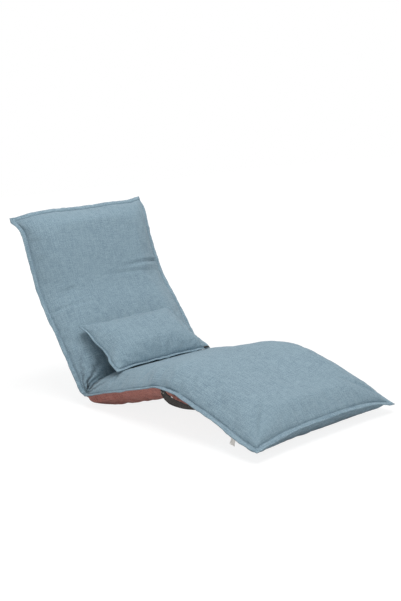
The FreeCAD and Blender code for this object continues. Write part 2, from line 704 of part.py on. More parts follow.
# Put the origin under the middle of the chair and write every piece
low_x = min(shape.BoundBox.XMin for shape in parts.values())
high_x = max(shape.BoundBox.XMax for shape in parts.values())
centre_x = (low_x + high_x) / 2
for name, shape in parts.items():
    shape.translate(V(-centre_x, 0, 0))
    shape.exportStep("parts/" + name + ".step")
    solids = shape.Solids
    print(f"{name}: {len(solids)} solids, {sum(s.Volume for s in solids) / 1000:.1f} cm3,",
          "valid" if shape.isValid() else "NOT VALID")

print(f"nodes {len(parts)}, leg drop {leg_drop:.3f}, waist seam {waist_height:.3f}, centre {centre_x:.3f}")
for name, (pivot, fixed, moving, low, high, sense) in hinges.items():
    pin = plus(pivot, unit(direction(angle_of(fixed) + angle_of(pawl_pin))), math.hypot(*pawl_pin))
    print(f"{name} pivot {pivot[0] - centre_x:.3f} {pivot[1]:.3f} pawl pin {pin[0] - centre_x:.3f} {pin[1]:.3f}")
lift = back_axes[2]
print(f"pillow lifts off along {lift[0]:.5f} {lift[1]:.5f}")
gap_middle = in_section(leg_axes, handle_middle, (HANDLE_WIDTH - HANDLE_DROP - FLANGE_PLY) / 2)
print(f"handle gap at {(gap_middle[0] - centre_x) / 1000:.5f} {trim_y / 1000:.5f} {gap_middle[1] / 1000:.5f}")
for strip, name in (("rest", "seat_base_cover"), ("foot", "leg_base_cover")):
    strips = [face for face in parts[name].Faces if face.BoundBox.ZMax < 0.001]
    spots = [(face.CenterOfMass.x, face.BoundBox.XLength, face.BoundBox.YLength) for face in strips]
    for x, depth, across in spots:
        print(f"{strip} strip at {x:.3f}, {depth:.1f} by {across:.1f} mm")
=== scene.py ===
# %% [markdown]
# A folding floor chair: four padded sections in one blue linen cover, folded sharply at the
# waist and softly at the neck and the knee, with a loose lumbar pillow. The steel frame and its
# ratchets are already modelled and come in as the fixed frame. This script makes everything
# that is soft: the covers, their sewn flange, the stitches, the pillow and the webbing. It also
# gives the frame's own pieces their finishes. Everything is in metres. The lengths of the four
# sections and the width between their seams are the frame's own. The crown, the flange and the
# size of the pillow were fitted to the photograph.

# %% Load the frame
import json
import math
import bmesh
import bpy
import numpy as np
from mathutils import Matrix, Vector


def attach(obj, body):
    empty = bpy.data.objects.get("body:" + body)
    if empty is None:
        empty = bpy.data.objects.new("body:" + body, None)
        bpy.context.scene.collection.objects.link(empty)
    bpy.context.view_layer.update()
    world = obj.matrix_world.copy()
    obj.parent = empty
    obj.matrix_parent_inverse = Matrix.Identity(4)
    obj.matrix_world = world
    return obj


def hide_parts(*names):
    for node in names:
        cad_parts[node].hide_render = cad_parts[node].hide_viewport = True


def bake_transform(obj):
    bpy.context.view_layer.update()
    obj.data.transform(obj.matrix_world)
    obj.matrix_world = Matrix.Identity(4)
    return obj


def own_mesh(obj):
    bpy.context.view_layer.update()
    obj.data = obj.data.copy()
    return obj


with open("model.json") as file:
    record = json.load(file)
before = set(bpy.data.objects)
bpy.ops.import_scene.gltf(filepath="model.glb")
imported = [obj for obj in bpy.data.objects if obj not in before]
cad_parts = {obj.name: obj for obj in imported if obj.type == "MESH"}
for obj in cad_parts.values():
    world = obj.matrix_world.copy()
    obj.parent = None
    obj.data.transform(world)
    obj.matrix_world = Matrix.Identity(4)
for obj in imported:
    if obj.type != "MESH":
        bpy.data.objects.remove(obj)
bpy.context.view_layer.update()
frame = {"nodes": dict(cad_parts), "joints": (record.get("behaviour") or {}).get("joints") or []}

joints = {joint["name"]: joint for joint in frame["joints"]}

# %% [markdown]
# Materials and geometry trees are graphs of nodes. A script that builds them reads better with
# short words for the steps: add a node, wire a value or a socket into an input, do one sum. Every
# `g` below is such a graph.

# %% Short words for node trees
class Graph:
    def __init__(self, tree, empty=False):
        self.tree = tree
        if empty:
            tree.nodes.clear()

    def node(self, kind, **values):
        node = self.tree.nodes.new(kind)
        for key, value in values.items():
            setattr(node, key, value)
        return node

    def wire(self, value, socket):
        if isinstance(value, bpy.types.NodeSocket):
            self.tree.links.new(value, socket)
        else:
            socket.default_value = value

    def fill(self, node, wires):
        """Wire a node's inputs by their names."""
        for label, value in wires.items():
            self.wire(value, node.inputs[label])
        return node

    def add(self, kind, wires, **values):
        return self.fill(self.node(kind, **values), wires)

    def math(self, operation, a, b=0.0):
        node = self.node("ShaderNodeMath", operation=operation)
        self.wire(a, node.inputs[0])
        self.wire(b, node.inputs[1])
        return node.outputs[0]

    def plus(self, a, b):
        return self.math("ADD", a, b)

    def minus(self, a, b):
        return self.math("SUBTRACT", a, b)

    def times(self, a, b):
        return self.math("MULTIPLY", a, b)

    def split(self, vector):
        return self.add("ShaderNodeSeparateXYZ", {"Vector": vector}).outputs

    def noise(self, vector, scale, detail=2.0, roughness=0.5):
        wires = {"Vector": vector, "Scale": scale, "Detail": detail, "Roughness": roughness}
        return self.add("ShaderNodeTexNoise", wires).outputs["Fac"]

    def combine(self, x, y, z=0.0):
        return self.add("ShaderNodeCombineXYZ", {"X": x, "Y": y, "Z": z}).outputs[0]

    def range(self, value, low, high, to_low, to_high):
        node = self.node("ShaderNodeMapRange")
        for item, socket in zip((value, low, high, to_low, to_high), node.inputs):
            self.wire(item, socket)
        return node.outputs[0]

    def blend(self, share, first, second):
        """One colour where share is nought, the other where it is one."""
        wires = {"Factor": share, "A": first, "B": second}
        return self.add("ShaderNodeMix", wires, data_type="RGBA").outputs["Result"]

    def relief(self, height, distance, strength):
        """A bump node: it tilts the surface as a small height would."""
        wires = {"Height": height, "Distance": distance, "Strength": strength}
        return self.add("ShaderNodeBump", wires)


print("words of a graph", [word for word in vars(Graph) if not word.startswith("_")])

# %% [markdown]
# A new group comes with its named inputs and outputs, and a new material with one surface that
# is wired to the output. Colours are written as the eye sees them, from 0 to 255, and `linear`
# turns them to the renderer's linear light.

# %% New groups, materials and colours
def new_group(name, inputs, outputs):
    tree = bpy.data.node_groups.new(name, "ShaderNodeTree")
    for label, kind, value in inputs:
        socket = tree.interface.new_socket(name=label, in_out="INPUT", socket_type=kind)
        if value is not None:
            socket.default_value = value
    for label in outputs:
        tree.interface.new_socket(name=label, in_out="OUTPUT", socket_type="NodeSocketFloat")
    g = Graph(tree)
    return g, g.node("NodeGroupInput").outputs, g.node("NodeGroupOutput").inputs


def new_material(name):
    material = bpy.data.materials.new(name)
    material.use_nodes = True
    g = Graph(material.node_tree, empty=True)
    surface = g.node("ShaderNodeBsdfPrincipled")
    g.wire(surface.outputs[0], g.node("ShaderNodeOutputMaterial").inputs["Surface"])
    return material, g, surface


def linear(red, green, blue):
    """A colour written from 0 to 255, as linear light."""
    values = [v / 255 for v in (red, green, blue)]
    curved = [v / 12.92 if v <= 0.04045 else ((v + 0.055) / 1.055) ** 2.4 for v in values]
    return (*curved, 1.0)


print("middle grey is", round(linear(128, 128, 128)[0], 3), "in linear light")

# %% [markdown]
# The camera stands a little above the seat, near the foot end, and looks back along the chair.
# Its place, its three angles and its lens came from fitting the sewn seams, and the picture
# leans a few degrees. A camera is aimed by three directions: where it looks, what is right and
# what is up. They are the columns of its turn.

# %% Camera
CAMERA_PLACE = (2.490, -1.775, 0.8667)
CAMERA_HEADING = math.radians(53.504)
CAMERA_PITCH = math.radians(9.316)
CAMERA_LEAN = math.radians(-5.576)
CAMERA_LENS = 51.9


def aimed(heading, pitch, lean):
    """A turn whose columns are right, up and back."""
    ahead = math.cos(pitch)
    look = Vector((-math.sin(heading) * ahead, math.cos(heading) * ahead, -math.sin(pitch)))
    level = look.cross(Vector((0, 0, 1))).normalized()
    above = level.cross(look)
    right = level * math.cos(lean) + above * math.sin(lean)
    up = above * math.cos(lean) - level * math.sin(lean)
    return Matrix((right, up, -look)).transposed()


camera_data = bpy.data.cameras.new("camera")
camera_data.lens = CAMERA_LENS
camera_data.sensor_width = 36.0
camera = bpy.data.objects.new("camera", camera_data)
turn = aimed(CAMERA_HEADING, CAMERA_PITCH, CAMERA_LEAN).to_4x4()
camera.matrix_world = Matrix.Translation(CAMERA_PLACE) @ turn
bpy.context.scene.collection.objects.link(camera)
bpy.context.scene.camera = camera
print("camera at", CAMERA_PLACE)

# %% [markdown]
# Soft studio light comes from three large round lamps: the key lamp above and in front, a weak
# one from the camera's side and one from behind. They are big, so no shadow has a hard edge.

# %% Lamps
LAMPS = (
    ("key", (1.0, -0.3, 3.7), (0.0, 0.0, 0.2), 2.2, 100.0),
    ("fill", (2.6, -3.2, 1.5), (0.0, 0.0, 0.2), 2.4, 7.0),
    ("back", (-2.8, 1.6, 2.4), (0.0, 0.0, 0.3), 2.0, 18.0),
)

for name, place, aim, size, power in LAMPS:
    lamp_data = bpy.data.lights.new(name, "AREA")
    lamp_data.shape = "DISK"
    lamp_data.size = size
    lamp_data.energy = power
    lamp = bpy.data.objects.new(name, lamp_data)
    lamp.location = place
    lamp.rotation_euler = (Vector(aim) - Vector(place)).to_track_quat("-Z", "Y").to_euler()
    bpy.context.scene.collection.objects.link(lamp)
    print("lamp", name, size, "m wide,", power, "W")

# %% [markdown]
# A pale sky lights the chair from all round. It is plain white only where the camera, a
# reflection or a see-through surface looks at it. The floor works the same way: it takes the
# shadow as grey paper does, but it glows nearly white to the camera, and more so far away.

# %% Sky and floor
WHITE = (1.0, 1.0, 1.0, 1.0)
PAPER = (0.9, 0.9, 0.9, 1.0)
SKY_LEVEL = 0.40
FLOOR_SIZE = 60.0
FLOOR_BRIGHTNESS = 1.07
FLOOR_GLOW = 0.80
FLOOR_NEAR, FLOOR_FAR = 0.9, 2.0


def seen_directly(g):
    """One where the camera, a reflection or a see-through surface looks, nought elsewhere."""
    rays = g.node("ShaderNodeLightPath").outputs
    seen = g.math("MAXIMUM", rays["Is Camera Ray"], rays["Is Glossy Ray"])
    return g.math("MAXIMUM", seen, rays["Is Transmission Ray"])


def mixed(g, share, first, second):
    mix = g.node("ShaderNodeMixShader")
    for value, socket in zip((share, first.outputs[0], second.outputs[0]), mix.inputs):
        g.wire(value, socket)
    return mix.outputs[0]


def make_sky():
    world = bpy.data.worlds.new("studio")
    world.use_nodes = True
    g = Graph(world.node_tree, empty=True)
    dim = g.add("ShaderNodeBackground", {"Color": WHITE, "Strength": SKY_LEVEL})
    bright = g.add("ShaderNodeBackground", {"Color": WHITE, "Strength": 1.0})
    sky = mixed(g, seen_directly(g), dim, bright)
    g.wire(sky, g.node("ShaderNodeOutputWorld").inputs["Surface"])
    bpy.context.scene.world = world


def make_floor():
    material = bpy.data.materials.new("floor_paper")
    material.use_nodes = True
    g = Graph(material.node_tree, empty=True)
    paper = g.add("ShaderNodeBsdfDiffuse", {"Color": PAPER})
    glow = g.add("ShaderNodeEmission", {"Color": WHITE, "Strength": FLOOR_BRIGHTNESS})
    away = g.node("ShaderNodeVectorMath", operation="LENGTH")
    g.wire(g.node("ShaderNodeTexCoord").outputs["Object"], away.inputs[0])
    fade = g.range(away.outputs["Value"], FLOOR_NEAR, FLOOR_FAR, FLOOR_GLOW, 1.0)
    surface = mixed(g, g.times(seen_directly(g), fade), paper, glow)
    g.wire(surface, g.node("ShaderNodeOutputMaterial").inputs["Surface"])
    half = FLOOR_SIZE / 2
    corners = [(-half, -half, 0), (half, -half, 0), (half, half, 0), (-half, half, 0)]
    mesh = bpy.data.meshes.new("floor")
    mesh.from_pydata(corners, [], [(0, 1, 2, 3)])
    mesh.materials.append(material)
    floor = bpy.data.objects.new("floor", mesh)
    bpy.context.scene.collection.objects.link(floor)


make_sky()
make_floor()
bpy.context.scene.view_settings.view_transform = "Standard"
print("sky and floor")

# %% [markdown]
# Every soft surface here is woven, so one node group makes the weave for all of them. It reads
# the piece's own UV map, which counts metres along and across the cloth, so the threads follow
# the folds. Plain weave is a chessboard: on the white squares the thread along is on top, and
# on the black squares the thread across. Each thread gets its own tone from a noise stretched
# along it, which is the heathered look of linen. The group gives a height, a tone and a worn
# patch, and the shader itself stays in the material.

# %% Weave group
DRIFT_SIZE, DRIFT_PUSH = 45.0, 0.0022
LUMP_SIZE, LUMP_SHARE = 300.0, 1.1
STRETCH = 0.05
UPPER_SHARE = 0.6


def make_weave_group():
    number = "NodeSocketFloat"
    g, given, result = new_group("plain_weave", [
        ("Vector", "NodeSocketVector", None), ("Threads", number, 900.0), ("Slub", number, 0.5),
        ("Wear size", number, 6.0)], ("Height", "Tone", "Wear"))
    place, threads, slub = given["Vector"], given["Threads"], given["Slub"]
    split = g.split(place)
    # A slow noise pushes the threads about a little, as in hand-spun yarn
    drift = g.minus(g.noise(place, DRIFT_SIZE, 2.0), 0.5)
    push = g.times(drift, DRIFT_PUSH)
    along = g.times(g.plus(split[0], push), threads)
    across = g.times(g.plus(split[1], push), threads)
    ridge_a = g.math("ABSOLUTE", g.math("SINE", g.times(along, math.pi)))
    ridge_b = g.math("ABSOLUTE", g.math("SINE", g.times(across, math.pi)))
    squares = g.plus(g.math("FLOOR", along), g.math("FLOOR", across))
    on_top = g.math("MODULO", g.math("ABSOLUTE", squares), 2.0)
    lift = g.times(on_top, UPPER_SHARE)
    over = g.times(ridge_a, g.plus(lift, 1.0 - UPPER_SHARE))
    under = g.times(ridge_b, g.minus(1.0, lift))
    # Tone of each thread: the noise is long along the thread and one thread wide across it
    warp_place = g.combine(g.math("FLOOR", along), g.times(across, STRETCH))
    weft_place = g.combine(g.times(along, STRETCH), g.math("FLOOR", across), 7.0)
    warp = g.times(g.noise(warp_place, 0.9, 3.0), on_top)
    weft = g.times(g.noise(weft_place, 0.9, 3.0), g.minus(1.0, on_top))
    thread_tone = g.minus(g.plus(warp, weft), 0.5)
    tone = g.plus(0.5, g.times(thread_tone, slub))
    # Thick and thin places of the yarn, a few millimetres long, show from a step away
    lumps = g.minus(g.noise(place, LUMP_SIZE, 3.0, 0.7), 0.5)
    lump_tone = g.times(lumps, g.times(slub, LUMP_SHARE))
    patch = g.noise(place, given["Wear size"], 4.0, 0.6)
    g.wire(g.math("MAXIMUM", over, under), result["Height"])
    g.wire(g.plus(tone, lump_tone), result["Tone"])
    g.wire(g.range(patch, 0.35, 0.7, 0.0, 1.0), result["Wear"])
    return g.tree


weave_group = make_weave_group()
print("group", weave_group.name)

# %% [markdown]
# Each cloth sets its own colours, thread count and sheen around that group. The blue linen also
# has sharp pleats, which run out from the pinched ends of the waist crease and are finer than the
# mesh. They are lines at even angles round the pinch, and a noise bends them. Their valleys are
# sunk by a bump and painted darker, which is painted shade in the pleats. The piece that has them
# carries an attribute with the angle, the distance and the strength.

# %% Cloth materials
WEAR_SIZE, WEAR_SHARE = 5.0, 0.35
THREAD_HEIGHT = 0.0005
HALF_TURN_PLEATS, PLEAT_WANDER = 9.0, 3.0
PLEAT_DEPTH, PLEAT_BUMP = 0.006, 0.8
# How much painted shade goes into the pleat valleys, and how dark it is
PLEAT_SHADE, PLEAT_SHADE_DARKNESS = 1.25, 0.22


def add_pleats(g, surface, colour, dark, weave_relief):
    """Paint shade into the lines that fan out from the ends of the waist crease, and sink them."""
    stored = g.node("ShaderNodeAttribute", attribute_name="pleats")
    way, reach, share = g.split(stored.outputs["Vector"])
    wander = g.noise(g.combine(g.times(reach, 30.0), way), 1.6, 2.0)
    turned = g.plus(g.times(way, HALF_TURN_PLEATS), g.times(wander, PLEAT_WANDER))
    line = g.math("ABSOLUTE", g.math("SINE", turned))
    valley = g.times(g.range(line, 0.0, 0.85, 1.0, 0.0), share)
    # Painted shade: the pleat valleys are blended towards a darkened copy of the dark thread colour
    pleat_shade_colour = (*[PLEAT_SHADE_DARKNESS * v for v in dark[:3]], 1.0)
    shaded = g.blend(g.times(valley, PLEAT_SHADE), colour, pleat_shade_colour)
    g.wire(shaded, surface.inputs["Base Color"])
    folded = g.relief(g.minus(1.0, valley), PLEAT_DEPTH, PLEAT_BUMP)
    g.wire(weave_relief.outputs[0], folded.inputs["Normal"])
    g.wire(folded.outputs[0], surface.inputs["Normal"])


def cloth_material(name, dark, light, worn, threads, slub, rough, sheen, bump, mapped=True, pleated=False):
    material, g, surface = new_material(name)
    place = g.node("ShaderNodeTexCoord").outputs["Object"]
    if mapped:
        place = g.node("ShaderNodeUVMap", uv_map="cloth").outputs[0]
    wires = {"Vector": place, "Threads": threads, "Slub": slub, "Wear size": WEAR_SIZE}
    weave = g.add("ShaderNodeGroup", wires, node_tree=weave_group)
    colours = g.node("ShaderNodeValToRGB")
    for stop, colour, position in zip(colours.color_ramp.elements, (dark, light), (0.3, 0.7)):
        stop.color = colour
        stop.position = position
    g.wire(weave.outputs["Tone"], colours.inputs[0])
    wear = g.times(weave.outputs["Wear"], WEAR_SHARE)
    faded = g.blend(wear, colours.outputs[0], worn)
    roughness = g.range(weave.outputs["Height"], 0.0, 1.0, rough + 0.06, rough - 0.04)
    relief = g.relief(weave.outputs["Height"], THREAD_HEIGHT, bump)
    g.fill(surface, {
        "Base Color": faded, "Roughness": roughness, "Normal": relief.outputs[0],
        "Sheen Weight": sheen, "Sheen Roughness": 0.5, "Specular IOR Level": 0.25})
    if pleated:
        add_pleats(g, surface, faded, dark, relief)
    return material


print("pleats in half a turn round the pinch:", HALF_TURN_PLEATS)

# %% [markdown]
# Seven cloths come from that function. Each call gives the dark and the light thread's colour
# and the worn one, then the threads per metre, how uneven the threads are, the roughness, the
# sheen and the strength of the relief.

# %% Seven cloths
blue_linen = cloth_material(
    "blue_linen", linear(106, 130, 145), linear(152, 175, 187), linear(140, 164, 176),
    620.0, 1.3, 0.88, 0.12, 0.6, pleated=True)
rust_cloth = cloth_material(
    "rust_cloth", linear(136, 86, 78), linear(192, 126, 114), linear(160, 108, 98),
    700.0, 1.7, 0.9, 0.1, 0.6)
black_web = cloth_material(
    "black_webbing", linear(20, 19, 19), linear(40, 38, 37), linear(56, 53, 50),
    700.0, 1.0, 0.7, 0.1, 0.8)
# The black webbing made paler: a painted highlight for the middle lanes of the carry handle
painted_highlight_web = cloth_material(
    "painted_highlight_webbing", linear(34, 30, 28), linear(56, 50, 46), linear(58, 53, 48),
    700.0, 1.0, 0.75, 0.1, 0.8)
elastic_web = cloth_material(
    "elastic_webbing", linear(26, 26, 27), linear(60, 60, 61), linear(80, 80, 80),
    520.0, 1.2, 0.75, 0.1, 0.9, mapped=False)
zip_tape = cloth_material(
    "zip_tape", linear(84, 50, 45), linear(118, 72, 64), linear(120, 80, 74),
    1300.0, 1.0, 0.8, 0.1, 0.6, mapped=False)
white_satin = cloth_material(
    "white_satin", linear(214, 210, 204), linear(240, 238, 234), linear(226, 220, 212),
    2600.0, 0.6, 0.45, 0.1, 0.3)
print("materials so far", len(bpy.data.materials))

# %% [markdown]
# The chair's shape is drawn once, from the side, as the line of its sewn seam: up the head and
# the back, round the waist, along the seat, over the knee and down the leg. Soft corners are
# curves with one control point at the corner. Distance along this line, counted from the waist,
# is `s`, and every fold, stitch and ripple later is placed by it.

# %% Seam line of the chair
HEAD_LENGTH = 0.327
BACK_LENGTH = 0.429
SEAT_LENGTH = 0.547
LEG_LENGTH = 0.457
HEAD_LEAN = 75.0
BACK_LEAN = 54.3
SEAT_RISE = 12.6
LEG_DROP = 15.437
NECK_REACH = 0.06
WAIST_REACH = 0.014
KNEE_REACH = 0.08
SEAM_UNDER_PIVOT = 0.00586
CORNER_STEPS = 16
HALF_WIDTH = 0.28


def course(degrees):
    return np.array([math.cos(math.radians(degrees)), math.sin(math.radians(degrees))])


def soft_curve(start, control, end, t):
    """A curve of second degree from start to end, drawn towards its control point."""
    t = t[:, None]
    return (1 - t) ** 2 * start + 2 * t * (1 - t) * control + t ** 2 * end


def soft_corner(corner, before, after, reach):
    t = np.linspace(0.0, 1.0, CORNER_STEPS + 1)
    return soft_curve(corner + before * reach, corner, corner + after * reach, t)


head_way, back_way = course(180 - HEAD_LEAN), course(180 - BACK_LEAN)
seat_way, leg_way = course(SEAT_RISE), course(-LEG_DROP)
waist_up = (back_way + seat_way) / np.linalg.norm(back_way + seat_way)
pivot = joints["back_recline"]["pos_m"]
waist = np.array([pivot[0], pivot[2]]) - waist_up * SEAM_UNDER_PIVOT
neck = waist + back_way * BACK_LENGTH
knee = waist + seat_way * SEAT_LENGTH
head_end = neck + head_way * HEAD_LENGTH
foot_end = knee + leg_way * LEG_LENGTH
seam_points = np.concatenate([
    [head_end],
    soft_corner(neck, head_way, -back_way, NECK_REACH),
    soft_corner(waist, back_way, seat_way, WAIST_REACH),
    soft_corner(knee, -seat_way, leg_way, KNEE_REACH),
    [foot_end],
])


def walked_along(points):
    """Distance of each point from the first one, walked along the line."""
    steps = np.linalg.norm(np.diff(points, axis=0), axis=1)
    return np.concatenate([[0.0], np.cumsum(steps)])


seam_run = walked_along(seam_points)


def run_at(corner):
    return seam_run[np.argmin(np.linalg.norm(seam_points - corner, axis=1))]


seam_run -= run_at(waist)
S_HEAD, S_FOOT = seam_run[0], seam_run[-1]
S_NECK, S_KNEE = run_at(neck), run_at(knee)
for name, place in (("head", S_HEAD), ("neck", S_NECK), ("knee", S_KNEE), ("foot", S_FOOT)):
    print(name, "at", round(place, 3))

# %% [markdown]
# Above and below that line the pad has a thickness, measured square to the section. At the two
# soft bends the direction turns slowly. At the waist it fans out, so that the cloth of the back
# and of the seat roll down into one crease and never pass through each other. The seam isn't
# straight either: each long edge sways a little, and both closed ends bow.

# %% Thickness and fan
CROWN = 0.047
HEAD_CROWN = 0.044
DEPTH = 0.036
FAN = 0.075
END_ROUND = 0.085
BASE_END_ROUND = 0.035
CREASE_SINK = 0.40
CREASE_WIDTH = 0.022
DRAW_IN = 0.005
NECK_TURN = 0.14
KNEE_TURN = 0.2
BACK_SWELL = 0.003
FOOT_SPREAD = 0.005
PINCH, PINCH_LENGTH = 0.010, 0.013
BOW_REACH = 0.05
BASE_BOW_REACH = 0.016
HEAD_BOW = (-0.002, 0.0, 0.006)
FOOT_BOW = (-0.012, 0.0, 0.024)


def smooth(x):
    x = np.clip(x, 0.0, 1.0)
    return x * x * (3 - 2 * x)


def seam_at(s):
    return np.stack([np.interp(s, seam_run, seam_points[:, axis]) for axis in (0, 1)], -1)


def up_at(s):
    degrees = 90 - HEAD_LEAN + (HEAD_LEAN - BACK_LEAN) * smooth((s - S_NECK) / NECK_TURN + 0.5)
    degrees = degrees + (BACK_LEAN + SEAT_RISE) * smooth(s / (2 * FAN) + 0.5)
    degrees = degrees - (SEAT_RISE + LEG_DROP) * smooth((s - S_KNEE) / KNEE_TURN + 0.5)
    angle = np.radians(degrees)
    return np.stack([np.cos(angle), np.sin(angle)], -1)


def end_share(s):
    """How full the pad is near its two closed ends, from nought to one."""
    inside = np.clip(np.minimum(s - S_HEAD, S_FOOT - s) / END_ROUND, 0.0, 1.0)
    return (1 - (1 - inside) ** 2) ** 0.42


def base_end_share(s):
    """The same for the base, which ends in a nearly upright wall."""
    inside = np.clip(np.minimum(s - S_HEAD, S_FOOT - s) / BASE_END_ROUND, 0.0, 1.0)
    return np.sqrt(1 - (1 - inside) ** 2)


def crown_at(s):
    full = HEAD_CROWN + (CROWN - HEAD_CROWN) * smooth((s - S_NECK) / 0.2)
    crease = 1 - CREASE_SINK * np.exp(-np.abs(s) / CREASE_WIDTH)
    return full * crease * end_share(s)


def depth_at(s):
    return DEPTH * base_end_share(s)


def half_at(s):
    upper = np.clip((s - S_HEAD) / (0 - S_HEAD), 0, 1)
    lower = np.clip(s / S_FOOT, 0, 1)
    part = np.where(s < 0, upper, lower)
    belly = np.where(s < 0, BACK_SWELL, -DRAW_IN) * (1 - (2 * part - 1) ** 2)
    spread = FOOT_SPREAD * smooth((s - S_KNEE - 0.2) / 0.2)
    return HALF_WIDTH + belly + spread - PINCH * np.exp(-(s / PINCH_LENGTH) ** 2)


def bow_shift(s, y, side):
    """At a closed end the seam bows: the foot's is pulled up and in, the head's stands out."""
    across = 1 - np.minimum(np.abs(y) / half_at(s), 1.0) ** 3
    reach = np.where(side < 0, BASE_BOW_REACH, BOW_REACH)
    foot = across * np.exp(-(S_FOOT - s) / reach)
    head = across * np.exp(-(s - S_HEAD) / reach)
    return foot[:, None] * np.array(FOOT_BOW) + head[:, None] * np.array(HEAD_BOW)


print("pad", CROWN + DEPTH, "thick,", round(float(2 * half_at(-0.2)), 3), "wide in the back")

# %% [markdown]
# The long edges sway sideways in four places. Each row of the table gives the edge that moves,
# the place along the seam, how long the sway is and how far it goes towards the far side.

# %% Sways of the long edges
BACK_SWAY = 0.003
LEG_SWAY = 0.005
FAR, NEAR = 1, -1
EDGE_SWAYS = (
    (FAR, S_HEAD + 0.15, 0.13, -0.009),
    (FAR, -0.22, 0.15, 0.005),
    (NEAR, -0.35, 0.12, 0.004),
)


def sway(s, y):
    back_share = np.clip((s - S_HEAD) / -S_HEAD, 0, 1)
    shift = LEG_SWAY * smooth((s - S_KNEE) / 0.1) - BACK_SWAY * np.sin(2 * math.pi * back_share)
    for edge, place, length, sideways in EDGE_SWAYS:
        shift += smooth(edge * y / HALF_WIDTH) * sideways * np.exp(-((s - place) / length) ** 2)
    return shift


print("the foot end sways", round(float(sway(np.array([S_FOOT]), np.zeros(1))[0]), 4))

# %% [markdown]
# The cover is one closed bag of quads, laid out in rows along the chair and columns across it.
# Even quads simulate best, so both rows and columns are spaced by the distance walked on the
# surface, round the ends and over the shoulders. The top and the base share the vertices of the
# seam. Each vertex remembers its own (s, y, side), because the folds are placed by them later.

# %% Bag of quads
def even_spacing(x, y, count):
    """Indices into a curve, as fractions, at even distances along it."""
    walked = walked_along(np.stack([x, y], 1))
    return np.interp(np.linspace(0, walked[-1], count), walked, np.arange(len(x)))


CURVE_POINTS = 241
TOP_FULLNESS = 2.1


def cross_curve(half, rise, columns, squareness, fullness):
    """Across one section: from the near seam over the pad to the far seam."""
    angle = np.linspace(-math.pi / 2, math.pi / 2, CURVE_POINTS)
    y = half * np.sign(np.sin(angle)) * np.abs(np.sin(angle)) ** (2 / squareness)
    height = rise * np.abs(np.cos(angle)) ** (2 / fullness)
    height[0] = height[-1] = 0.0
    at = even_spacing(y, height, columns)
    steps = np.arange(CURVE_POINTS)
    return np.interp(at, steps, y), np.interp(at, steps, height)


print("a section's curve has", CURVE_POINTS, "points")

# %% [markdown]
# A bag is two grids of such curves, the top and the base. Its UV map counts the metres walked
# along and across the cloth. The base's quads are turned round, so that they face outwards too.
# The cover's own bag has a row every 10.5 mm, and one row lies exactly in the waist crease.

# %% Closed bag
def bag(rows, line, up, half, top, base, columns, squareness, base_fullness):
    """Vertices, quads, UV corners, places and index of a closed pad. The base's quads come last."""
    count = len(rows)
    top_grid = np.zeros((count, columns, 3))
    base_grid = np.zeros((count, columns, 3))
    uv = np.zeros((2, count, columns, 2))
    place = np.zeros((2, count, columns, 3))
    for i in range(count):
        layers = ((top_grid, top[i], 1.0, TOP_FULLNESS), (base_grid, base[i], -1.0, base_fullness))
        for side, (grid, rise, sign, fullness) in enumerate(layers):
            y, height = cross_curve(half[i], rise, columns, squareness, fullness)
            grid[i, :, 0] = line[i, 0] + up[i, 0] * height * sign
            grid[i, :, 1] = y
            grid[i, :, 2] = line[i, 1] + up[i, 1] * height * sign
            place[side, i, :, 0] = rows[i]
            place[side, i, :, 1] = y
            place[side, i, 1:-1, 2] = sign
            uv[side, i, :, 1] = walked_along(np.stack([y, height], 1))
            uv[side, i, :, 1] -= uv[side, i, columns // 2, 1]
    for side, grid in enumerate((top_grid, base_grid)):
        steps = np.linalg.norm(np.diff(grid, axis=0), axis=2)
        uv[side, 1:, :, 0] = np.cumsum(steps, axis=0).mean(1)[:, None]
    place[:, 0, :, 2] = 0.0
    place[:, -1, :, 2] = 0.0
    index = np.zeros((2, count, columns), int)
    index[0] = np.arange(count * columns).reshape(count, columns)
    index[1] = index[0]
    inner = (count - 2) * (columns - 2)
    index[1, 1:-1, 1:-1] = count * columns + np.arange(inner).reshape(count - 2, columns - 2)
    verts = np.concatenate([top_grid.reshape(-1, 3), base_grid[1:-1, 1:-1].reshape(-1, 3)])
    places = np.concatenate([place[0].reshape(-1, 3), place[1, 1:-1, 1:-1].reshape(-1, 3)])
    corners = ((0, 0), (1, 0), (1, 1), (0, 1))
    quads, coords = [], []
    for side, order in ((0, corners), (1, corners[::-1])):
        block = [index[side, a:count - 1 + a, b:columns - 1 + b].reshape(-1) for a, b in order]
        quads.append(np.stack(block, 1))
        block = [uv[side, a:count - 1 + a, b:columns - 1 + b].reshape(-1, 2) for a, b in order]
        coords.append(np.stack(block, 1))
    return verts, np.concatenate(quads), np.concatenate(coords), places, index


GRID = 0.0105
SURFACE_RUN = 1.92
DENSE = 6000
COLUMNS = 61
SQUARENESS, BASE_FULLNESS = 8.0, 3.2
dense = np.linspace(S_HEAD, S_FOOT, DENSE)
even = even_spacing(dense, crown_at(dense) * 0.75, int(SURFACE_RUN / GRID))
rows = np.interp(even, np.arange(DENSE), dense)
rows[np.argmin(np.abs(rows))] = 0.0
cover_verts, cover_quads, cover_uv, cover_places, cover_index = bag(
    rows, seam_at(rows), up_at(rows), half_at(rows), crown_at(rows), depth_at(rows),
    COLUMNS, SQUARENESS, BASE_FULLNESS)
cover_verts += bow_shift(*cover_places.T)
cover_verts[:, 1] += sway(cover_places[:, 0], cover_places[:, 1])
print("bag", len(cover_verts), "vertices,", len(cover_quads), "quads")

# %% [markdown]
# Meshes are made from tables, and read back into tables, because whole tables of numbers are
# quick to work on.

# %% Meshes and tables
def table_of(items, name, width, kind=np.float32):
    """One value of all items, as a table with that many columns."""
    values = np.zeros(len(items) * width, kind)
    items.foreach_get(name, values)
    return values.reshape(-1, width).astype(float)


def coordinates(mesh):
    return table_of(mesh.vertices, "co", 3)


def normals_of(mesh):
    return table_of(mesh.vertex_normals, "vector", 3)


def uv_of(mesh):
    return table_of(mesh.uv_layers["cloth"].data, "uv", 2).reshape(-1, 4, 2)


def quads_of(mesh):
    return table_of(mesh.loops, "vertex_index", 1, np.int32).astype(int).reshape(-1, 4)


